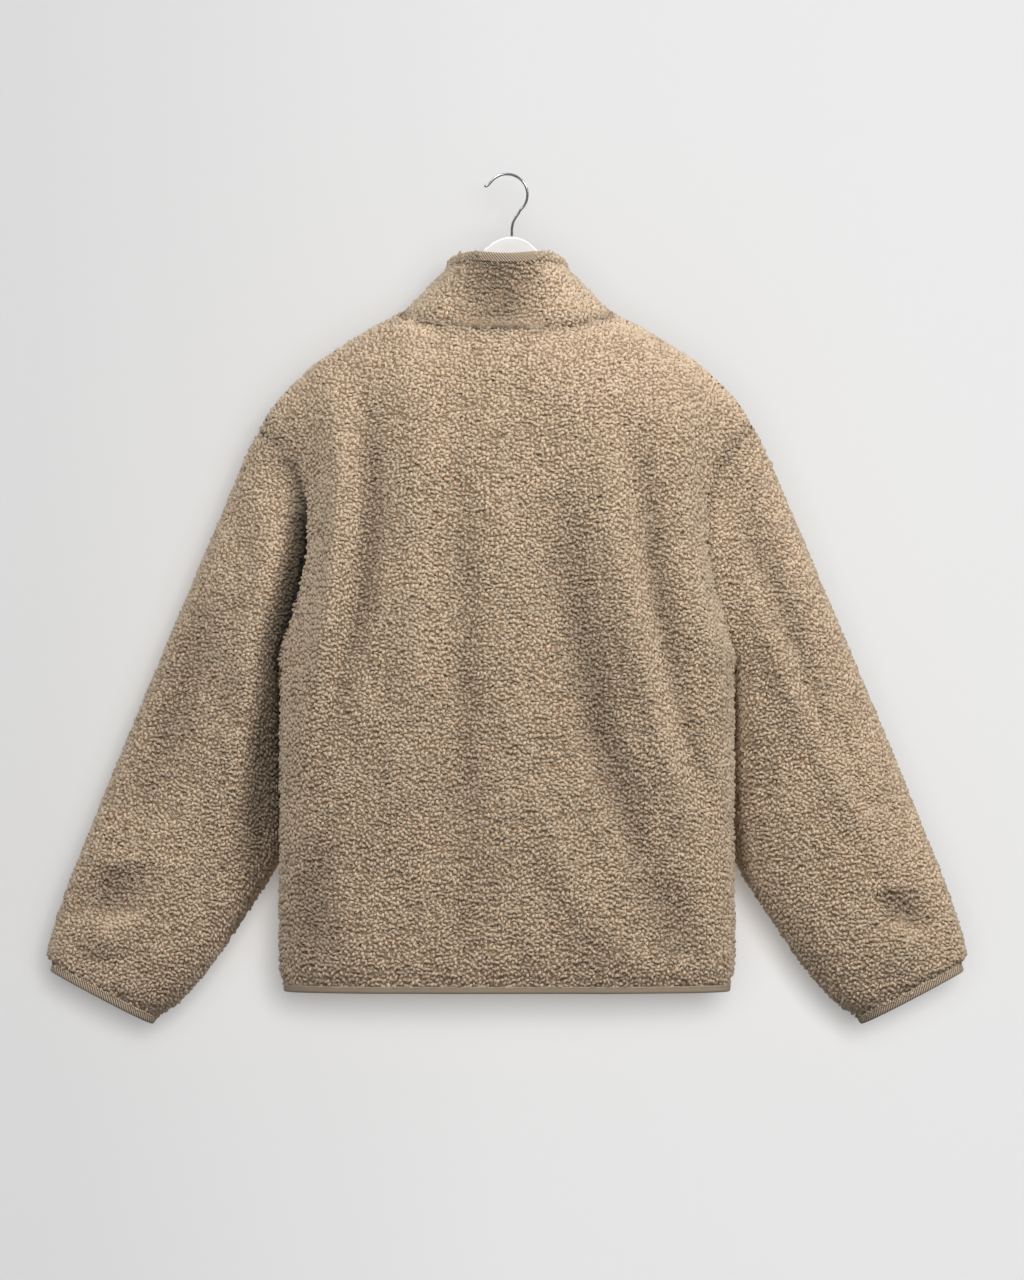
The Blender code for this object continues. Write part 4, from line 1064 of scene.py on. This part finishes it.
def add_collar():
    """The collar with its pile, its edge outside and inside, and the way that its edge runs."""
    half = NECK_SHARE * np.arange(COLLAR_COLUMNS + 1) / COLLAR_COLUMNS
    half[0] = ZIP_EDGE
    stops = [(c, -1) for c in half] + [(c, 1) for c in half[-2::-1]]
    stops += [(-c, 1) for c in half[1:]] + [(-c, -1) for c in half[-2::-1]]
    v = np.linspace(0, 1, COLLAR_ROWS)
    outer = np.stack([collar(np.full_like(v, c), v, side) for c, side in stops], axis=1)
    middle = outer.mean(axis=(0, 1))
    n = grid_normals(outer, (outer - middle) * [1, 1, 0])
    n[0] = [neck_normal(c, side) for c, side in stops]
    n[-1, :, 2] = 0
    n[-1] = unit(n[-1])
    skin, inner = outer - BACKING_DEPTH * n, outer - WALL * n
    for grid in (skin, inner):
        grid[:, 0, 0] = ZIP_HALF_GAP
        grid[:, -1, 0] = -ZIP_HALF_GAP
    # The collar's crest is only the painted shade along its seam.
    shell = finish_shell("collar_cloth", skin, inner, "collar", -painted_shade_along_seams(skin))
    run = unit(outer[-1] - outer[-2]) * [COLLAR_BINDING_LEAN, COLLAR_BINDING_LEAN, 1]
    grown = None
    # Pile leans over the binding at the back's two sides and leaves its middle bare.
    over = COLLAR_BINDING_HEIGHT * np.array([
        ease((abs(x) - PILE_OVER["from"]) / PILE_OVER["fade"]) * (side > 0)
        for x, (_, side) in zip(skin[-1, :, 0], stops)
    ])
    lift = run + n[-1] * PILE_OVER["lift"]
    rows = [skin] + [(skin[-1] + lift * (over * k / 3)[:, None])[None] for k in (1, 2, 3)]
    covered = np.concatenate(rows)
    leans = np.concatenate([n, np.repeat(n[-1:], 3, axis=0)])
    dent = sum(
        up / FOLD_HEIGHT * np.exp(-(((covered[..., 0] - at) / wide) ** 2))
        for at, wide, up in COLLAR_DENTS
    )
    crest = np.where(covered[..., 1] > 0, dent, 0) - painted_shade_along_seams(covered)
    grown = pile("collar_pile", covered, leans, crest, SPACING["seen"], SEEDS["collar"], PILE)
    return shell, outer[-1], inner[-1], run, grown


# ---------------------------------------------------------------- bindings and stitches
RIB_PITCH = 0.0030
RIB_DEPTH = 0.00016
RIB_SLANT = 0.9
TAPE_STEP = 0.00075
TAPE_SEWN = 0.04  # share of the height below which a tape has no ribs
TAPE_FOLD = {"from": 0.75, "spread": 2.2}  # share of the height where a tape turns over the edge
TAPE_SECTION = (
    # share of the height, share of the half thickness
    (0.00, 0.55), (0.00, 0.90), (0.08, 1.02), (0.22, 1.04), (0.36, 1.04), (0.50, 1.03),
    (0.64, 1.00), (0.78, 0.93), (0.90, 0.76), (0.97, 0.50), (1.00, 0.18), (1.00, -0.18),
    (0.97, -0.50), (0.90, -0.76), (0.78, -0.93), (0.64, -1.00), (0.50, -1.03), (0.36, -1.04),
    (0.22, -1.04), (0.08, -1.02), (0.00, -0.90), (0.00, -0.55),
)


def resample(lines, step, closed):
    """Points along several lines at once, about step apart on the first of them."""
    if closed:
        lines = [np.concatenate([line, line[:1]]) for line in lines]
    length = np.concatenate([[0], np.cumsum(np.linalg.norm(np.diff(lines[0], axis=0), axis=1))])
    count = max(4, int(round(length[-1] / step)))
    at = np.linspace(0, length[-1], count + 1)
    if closed:
        at = at[:-1]
    made = [
        np.stack([smooth(length, line[:, i], at) for i in range(3)], axis=-1) for line in lines
    ]
    return made, at


def tape(name, outer, inner, run, height, node, closed):
    """A binding folded over an edge, with diagonal ribs, and the lines that its stitches follow."""
    run = unit(np.broadcast_to(run, outer.shape)) if closed else run
    (outer, inner, run), at = resample([outer, inner, run], TAPE_STEP, closed)
    middle = (outer + inner) / 2
    across = unit(outer - inner) * BINDING_WALL / 2
    f = np.array(column(TAPE_SECTION, 0))[:, None, None]
    g = np.array(column(TAPE_SECTION, 1))[:, None, None]
    start = middle + run * GAP
    points = start + run * height * f + across * g
    over = np.where(f > TAPE_FOLD["from"], (f - TAPE_FOLD["from"]) * height * TAPE_FOLD["spread"], 0)
    out = unit(across * g + run * over)
    reach = np.where(g > 0, f, 2 - f)[:, :, 0] * height
    phase = (at[None] + reach * RIB_SLANT) / RIB_PITCH
    rib = 0.5 + 0.5 * np.cos(2 * np.pi * phase)
    free = np.where(f[:, :, 0] > TAPE_SEWN, 1.0, 0.0)
    points = points + out * ((rib - 0.5) * RIB_DEPTH * free)[..., None]
    points = points.transpose(1, 0, 2)
    rows, columns = points.shape[:2]
    faces = grid_faces(rows, columns, closed=True)
    if closed:
        at_last = np.arange(rows * columns).reshape(rows, columns)
        a = np.concatenate([at_last[-1], at_last[-1][:1]])
        b = np.concatenate([at_last[0], at_last[0][:1]])
        join = np.stack([a[:-1], a[1:], b[1:], b[:-1]], axis=-1)
        faces = np.concatenate([faces, join])
    mesh = mesh_of(name, points.reshape(-1, 3), faces)
    store(mesh, rib_phase=phase.T)
    bm = bmesh.new()
    bm.from_mesh(mesh)
    if not closed:
        open_edges = [e for e in bm.edges if e.is_boundary]
        bmesh.ops.holes_fill(bm, edges=open_edges)
    bmesh.ops.recalc_face_normals(bm, faces=bm.faces)
    bm.to_mesh(mesh)
    bm.free()
    piece = place(name, mesh, BINDING, replaces=[node])
    return piece, (start, run, across)


STITCH_PITCH = 0.0036
STITCH_LENGTH = 0.0027
STITCH_RADIUS = 0.00034
STITCH_SIDES = 6
STITCH_SECTIONS = ((-0.5, 0.25), (-0.38, 0.9), (0.0, 1.0), (0.38, 0.9), (0.5, 0.25))  # place, fullness
STITCH_SHARE = {"cuff": 0.16, "hem": 0.18, "collar": 0.14}  # of the tape's height
STITCH_OUT = 1.05  # share of the tape's half thickness


def stitches(name, lines, closed):
    """Short rounded stitches, joined into one mesh. Each line is (points, outward)."""
    verts, faces = [], []
    one = []
    last = STITCH_SIDES * (len(STITCH_SECTIONS) - 1)
    each = last + STITCH_SIDES
    for base in range(0, last, STITCH_SIDES):
        for k in range(STITCH_SIDES):
            a, b = base + k, base + (k + 1) % STITCH_SIDES
            one += [(a, b, b + STITCH_SIDES), (a, b + STITCH_SIDES, a + STITCH_SIDES)]
    for k in range(1, STITCH_SIDES - 1):
        one += [(0, k + 1, k), (last, last + k, last + k + 1)]
    one = np.array(one)
    total = 0
    for line, outward in lines:
        (line, outward), _ = resample([line, outward], STITCH_PITCH, closed)
        along = unit(np.gradient(line, axis=0))
        outward = unit(outward)
        side = np.cross(along, outward)
        rings = []
        for position, full in STITCH_SECTIONS:
            middle = line + along * STITCH_LENGTH * position + outward * STITCH_RADIUS * 0.5 * full
            for k in range(STITCH_SIDES):
                a = 2 * math.pi * k / STITCH_SIDES
                toward = side * math.cos(a) + outward * math.sin(a)
                rings.append(middle + toward * STITCH_RADIUS * full)
        count = len(line)
        verts.append(np.stack(rings, axis=1).reshape(-1, 3))
        faces.append((one[None] + each * np.arange(count)[:, None, None]).reshape(-1, 3) + total)
        total += each * count
    mesh = mesh_of(name, np.concatenate(verts), np.concatenate(faces))
    return place(name, mesh, THREAD)


def both_sides(start, run, across, height, share):
    """A tape's two lines of stitches, each with its outward direction."""
    return [
        (start + run * height * share + across * STITCH_OUT, across),
        (start + run * height * share - across * STITCH_OUT, -across),
    ]


# ---------------------------------------------------------------- zip
def front_line():
    """Depth and height of the cloth's edge beside the zip, from hem to collar."""
    c = np.linspace(ZIP_EDGE, NECK_SHARE / 2, 60)
    lines = [body(c, np.full_like(c, t), -1) for t in panel_rows()]
    lines += [collar(c, v, -1) for v in np.linspace(0.1, 1, 10)]
    return np.array(
        [[np.interp(ZIP_HALF_GAP, line[:, 0], line[:, i]) for i in (1, 2)] for line in lines]
    )


TOOTH_PITCH = 0.0026
TOOTH_OFFSET = 0.0009  # from the zip's middle, to the left and right in turn
TEETH_INSET = {"low": 0.0135, "high": 0.0015}  # clear of the bottom box and of the chain's end
TEETH_SINK = 0.0001  # further in than the front of the chain
TOOTH = (
    # half width, half height, depth: from the chain's back to the teeth's crowns
    (0.0020, 0.00095, 0.0030),
    (0.0020, 0.00095, 0.0006),
    (0.0014, 0.00055, 0.0000),
)


def add_teeth():
    low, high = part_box("zip_chain")
    line = front_line()
    z = np.arange(low.z + TEETH_INSET["low"], high.z - TEETH_INSET["high"], TOOTH_PITCH / 2)
    y = np.interp(z, line[:, 1], line[:, 0]) + ZIP_CHAIN_SETBACK + TEETH_SINK
    hand = np.where(np.arange(len(z)) % 2, 1.0, -1.0)
    verts = []
    for half_width, half_height, depth in TOOTH:
        for sx, sz in ((-1, -1), (1, -1), (1, 1), (-1, 1)):
            x = hand * TOOTH_OFFSET + sx * half_width
            verts.append(np.stack([x, y + depth, z + sz * half_height], -1))
    verts = np.stack(verts, axis=1)
    one = [(0, 1, 2, 3), (8, 11, 10, 9)]
    for k in range(4):
        for base in (0, 4):
            a, b = base + k, base + (k + 1) % 4
            one.append((a, a + 4, b + 4, b))
    one = np.array(one)
    faces = (one[None] + 12 * np.arange(len(z))[:, None, None]).reshape(-1, 4)
    mesh = mesh_of("zip_teeth", verts.reshape(-1, 3), faces)
    mesh.set_sharp_from_angle(angle=math.radians(40))
    place("zip_teeth", mesh, teeth_look(), replaces=["zip_chain"])


# ---------------------------------------------------------------- hanger
def rounded(points, steps, closed):
    """A smooth line through points."""
    points = np.array(points, float)
    count = len(points)
    made = []
    for i in range(count if closed else count - 1):
        if closed:
            p = [points[(i + k) % count] for k in (-1, 0, 1, 2)]
        else:
            p = [points[min(max(i + k, 0), count - 1)] for k in (-1, 0, 1, 2)]
        for t in np.arange(steps) / steps:
            made.append(
                0.5 * (2 * p[1] + (p[2] - p[0]) * t + (2 * p[0] - 5 * p[1] + 4 * p[2] - p[3]) * t**2
                       + (3 * p[1] - p[0] - 3 * p[2] + p[3]) * t**3)
            )
    if not closed:
        made.append(points[-1])
    return made


def curve_piece(name, points, look, slot, node, closed, **settings):
    """A piece from a line of points: a flat board inside it, or a wire along it."""
    outline = bpy.data.curves.new(name, "CURVE")
    for key, value in settings.items():
        setattr(outline, key, value)
    spline = outline.splines.new("POLY")
    spline.points.add(len(points) - 1)
    spline.points.foreach_set("co", [float(v) for p in points for v in (*p, 1)])
    spline.use_cyclic_u = closed
    carrier = bpy.data.objects.new("carrier", outline)
    bpy.context.scene.collection.objects.link(carrier)
    if outline.dimensions == "2D":
        carrier.rotation_euler = (math.pi / 2, 0, 0)
    graph = bpy.context.evaluated_depsgraph_get()
    mesh = bpy.data.meshes.new_from_object(carrier.evaluated_get(graph))
    mesh.transform(carrier.matrix_world)
    mesh.name = name
    bpy.data.objects.remove(carrier, do_unlink=True)
    mesh.materials.clear()
    mesh.shade_smooth()
    mesh.set_sharp_from_angle(angle=math.radians(45))
    place(name, mesh, look, replaces=[node])


def add_hanger():
    arm = [
        (x, float(smooth(SHOULDER["x"], SHOULDER["z"], x)) - HANGER_CLEARANCE)
        for x in HANGER_ARM_TOP
    ]
    end_z = float(smooth(SHOULDER["x"], SHOULDER["z"], HANGER_END_X)) - HANGER_CLEARANCE
    tip = [(HANGER_END_X + past, end_z - share * HANGER_ARM_HEIGHT) for past, share in HANGER_TIP]
    centred = HANGER_ARM_TOP[0]
    left = [(x + HANGER_X * (1 - x / centred), z) for x, z in HANGER_HUMP]
    left += arm + tip + list(HANGER_BOTTOM)
    right = [(HANGER_X * (1 - x / centred) - x, z) for x, z in HANGER_HUMP[1:]]
    right += [(-x, z) for x, z in arm + tip + list(HANGER_BOTTOM)]
    points = [(x, z, 0) for x, z in rounded(left + right[::-1], 6, True)]
    curve_piece(
        "hanger_board", points, hanger_look(), "hanger_white", "hanger", True,
        dimensions="2D", fill_mode="BOTH", extrude=HANGER_WALL / 2 - HANGER_EDGE,
        bevel_depth=HANGER_EDGE, bevel_resolution=4, offset=-HANGER_EDGE,
    )


def add_hook():
    first, last = (math.radians(a) for a in HOOK_ARC)
    centre_z = HOOK_WIRE_RADIUS - HOOK_RADIUS
    turns = np.linspace(first, last, 24)
    path = list(HOOK_TIP)
    path += [(HOOK_RADIUS * math.cos(a), centre_z + HOOK_RADIUS * math.sin(a)) for a in turns]
    path += list(HOOK_STEM)
    path.append((HANGER_X, HANGER_CREST_Z + 2 * GAP))
    points = [(x, 0, z) for x, z in rounded(path, 4, False)]
    chrome = metal_look("polished_wire", (0.44, 0.44, 0.46), 0.20, 0.15)
    curve_piece(
        "hook_wire", points, chrome, "chrome", "hanger_hook", False,
        dimensions="3D", bevel_depth=HOOK_WIRE_RADIUS, bevel_resolution=5, use_fill_caps=True,
    )


# ---------------------------------------------------------------- the jacket
shells, edges = add_body()
collar_shell, collar_outer, collar_inner, collar_run, collar_grown = add_collar()
sleeves = {name: add_sleeve(hand, name) for hand, name in ((1, "left"), (-1, "right"))}

down = np.array([0.0, 0.0, -1.0])
order = (slice(None), slice(-2, 0, -1), slice(None))
pieces = [edges["front_left"], edges["back"], edges["front_right"]]
hem_outer, hem_inner = (np.concatenate([p[i][o] for p, o in zip(pieces, order)]) for i in (0, 1))
_, hem = tape(
    "hem_tape", hem_outer, hem_inner, np.tile(down, (len(hem_outer), 1)),
    HEM_BINDING_HEIGHT, "hem_binding", False,
)
collar_tape, top = tape(
    "collar_tape", collar_outer, collar_inner, collar_run,
    COLLAR_BINDING_HEIGHT, "collar_binding", False,
)
for hand, name in ((1, "left"), (-1, "right")):
    run = cuff_direction(hand)
    outer, inner = sleeves[name][1:3]
    cuff, ends = tape(
        f"cuff_tape_{name}", outer, inner, np.tile(run, (len(outer), 1)),
        CUFF_BINDING_HEIGHT, f"cuff_binding_{name}", True,
    )
    lines = both_sides(*ends, CUFF_BINDING_HEIGHT, STITCH_SHARE["cuff"])
    stitches(f"cuff_stitches_{name}", lines, True)
stitches("hem_stitches", both_sides(*hem, HEM_BINDING_HEIGHT, STITCH_SHARE["hem"]), False)
lines = both_sides(*top, COLLAR_BINDING_HEIGHT, STITCH_SHARE["collar"])
collar_sewn = stitches("collar_stitches", lines, False)

add_teeth()
add_hanger()
add_hook()
ZIP_LOOKS = (
    (metal_look("zip_metal", (0.56, 0.53, 0.47), 0.26, 0.2),
     ("zip_slider", "zip_bottom_box", "zip_pull_tab")),
    (zip_tape_look(), ("zip_tape_left", "zip_tape_right")),
)
for zip_look, nodes in ZIP_LOOKS:
    for node in nodes:
        for held in frame["nodes"][node].material_slots:
            held.material = zip_look


# ---------------------------------------------------------------- studio
def stage_plane(name, corners, colour):
    mesh = bpy.data.meshes.new(name)
    mesh.from_pydata(corners, [], [(0, 1, 2, 3)])
    made = bpy.data.objects.new(name, mesh)
    bpy.context.scene.collection.objects.link(made)
    look = Look(name)
    grain = look.noise(3, 2.0)
    tone = look.ramp(grain, ((0.3, tuple(v * 0.985 for v in colour)), (0.7, colour)))
    mesh.materials.append(look.finish(tone, Roughness=0.9, Specular_IOR_Level=0.1))
    return made, look


FLOOR_Z = -1.55
WALL_TOP_Z = 2.5
WALL_Y = -0.145
STAGE_GREY = (0.80, 0.80, 0.80)
WALL_GLOW = 0.115  # share of the wall's brightness that no shadow reaches
floor, _ = stage_plane(
    "studio_floor",
    [(-6, -6, FLOOR_Z), (6, -6, FLOOR_Z), (6, 6, FLOOR_Z), (-6, 6, FLOOR_Z)],
    STAGE_GREY,
)
# The wall stands close to the jacket's front. It shows only from the jacket's back side, and it
# casts no shadow itself.
backdrop, wall_look = stage_plane(
    "studio_wall",
    [(3, WALL_Y, FLOOR_Z), (-3, WALL_Y, FLOOR_Z), (-3, WALL_Y, WALL_TOP_Z), (3, WALL_Y, WALL_TOP_Z)],
    STAGE_GREY,
)
axes = wall_look.node("SeparateXYZ")
wall_look.link(wall_look.places(), axes.inputs[0])
along = wall_look.math("MULTIPLY_ADD", axes.outputs["X"], -1.0, 0.5)
painted_light_greys = ((0.0, 0.705), (0.5, 0.800), (0.95, 0.815))  # painted light: darker at the image's left, lighter towards its right
tone = wall_look.ramp(along, [(position, (grey, grey, grey)) for position, grey in painted_light_greys])
wall_look.link(tone, wall_look.shader.inputs["Base Color"])
# Painted light: the wall glows with the same painted greys, a brightness that no lamp gives.
wall_look.link(tone, wall_look.shader.inputs["Emission Color"])
wall_look.shader.inputs["Emission Strength"].default_value = WALL_GLOW
clear = wall_look.node("BsdfTransparent")
one_sided = wall_look.node("MixShader")
facing = wall_look.node("NewGeometry")
output = wall_look.tree.nodes["Material Output"]
wall_look.link(facing.outputs["Backfacing"], one_sided.inputs[0])
wall_look.link(wall_look.shader.outputs[0], one_sided.inputs[1])
wall_look.link(clear.outputs[0], one_sided.inputs[2])
wall_look.link(one_sided.outputs[0], output.inputs["Surface"])
backdrop.visible_diffuse = backdrop.visible_glossy = backdrop.visible_shadow = False


def add_light(name, position, target, size, power, colour):
    data = bpy.data.lights.new(name, "AREA")
    data.shape = "DISK"
    data.size = size
    data.energy = power
    data.color = colour
    lamp = bpy.data.objects.new(name, data)
    bpy.context.scene.collection.objects.link(lamp)
    lamp.location = position
    lamp.rotation_euler = (Vector(target) - Vector(position)).to_track_quat("-Z", "Y").to_euler()
    return lamp


# The lamps of the jacket and of the wall are parted, so that only a close soft shadow falls on it.
parted = {}
for name, chosen in (("jacket", False), ("wall", True)):
    parted[name] = bpy.data.collections.new(f"lit_{name}")
    for made in bpy.context.scene.objects:
        if made.type == "MESH" and (made in (floor, backdrop)) == chosen:
            parted[name].objects.link(made)
LAMP_TARGET = (0.0, 0.0, -0.50)
LAMPS = (
    # name, position, size, power, colour, what it lights
    ("side", (-1.9, 1.55, 1.25), 0.7, 55, (1.0, 0.97, 0.94), "jacket"),
    ("top", (0.9, 2.4, 2.0), 1.2, 76, (1.0, 0.99, 0.98), "jacket"),
    ("front_soft", (0.9, -3.2, 0.8), 2.4, 60, (1.0, 1.0, 1.0), "jacket"),
    ("wall_wash", (-0.95, 11.9, 0.80), 3.0, 600, (1.0, 1.0, 1.0), "wall"),
    ("wall_soft", (-0.20, 8.0, -0.30), 4.6, 220, (1.0, 1.0, 1.0), "wall"),
)
for name, position, size, power, colour, lit in LAMPS:
    lamp = add_light(name, position, LAMP_TARGET, size, power, colour)
    lamp.light_linking.receiver_collection = parted[lit]

world = bpy.data.worlds.new("studio")
bpy.context.scene.world = world
world.use_nodes = True
sky = world.node_tree.nodes["Background"]
sky.inputs["Color"].default_value = (0.90, 0.91, 0.92, 1)
sky.inputs["Strength"].default_value = 0.16

VIEW_HEIGHT = 1.331  # of the garment's plane in the image
VIEW_CENTRE = (-0.0052, -0.4831)  # x and z
DISTANCE = 6.0
SENSOR = 36
camera = bpy.data.objects.new("camera", bpy.data.cameras.new("camera"))
bpy.context.scene.collection.objects.link(camera)
camera.location = (VIEW_CENTRE[0], DISTANCE, VIEW_CENTRE[1])
camera.rotation_euler = (math.pi / 2, 0, math.pi)
camera.data.sensor_width = SENSOR
camera.data.lens = SENSOR * DISTANCE / VIEW_HEIGHT
camera.data.clip_end = 60
bpy.context.scene.camera = camera
bpy.context.scene.view_settings.view_transform = "Standard"
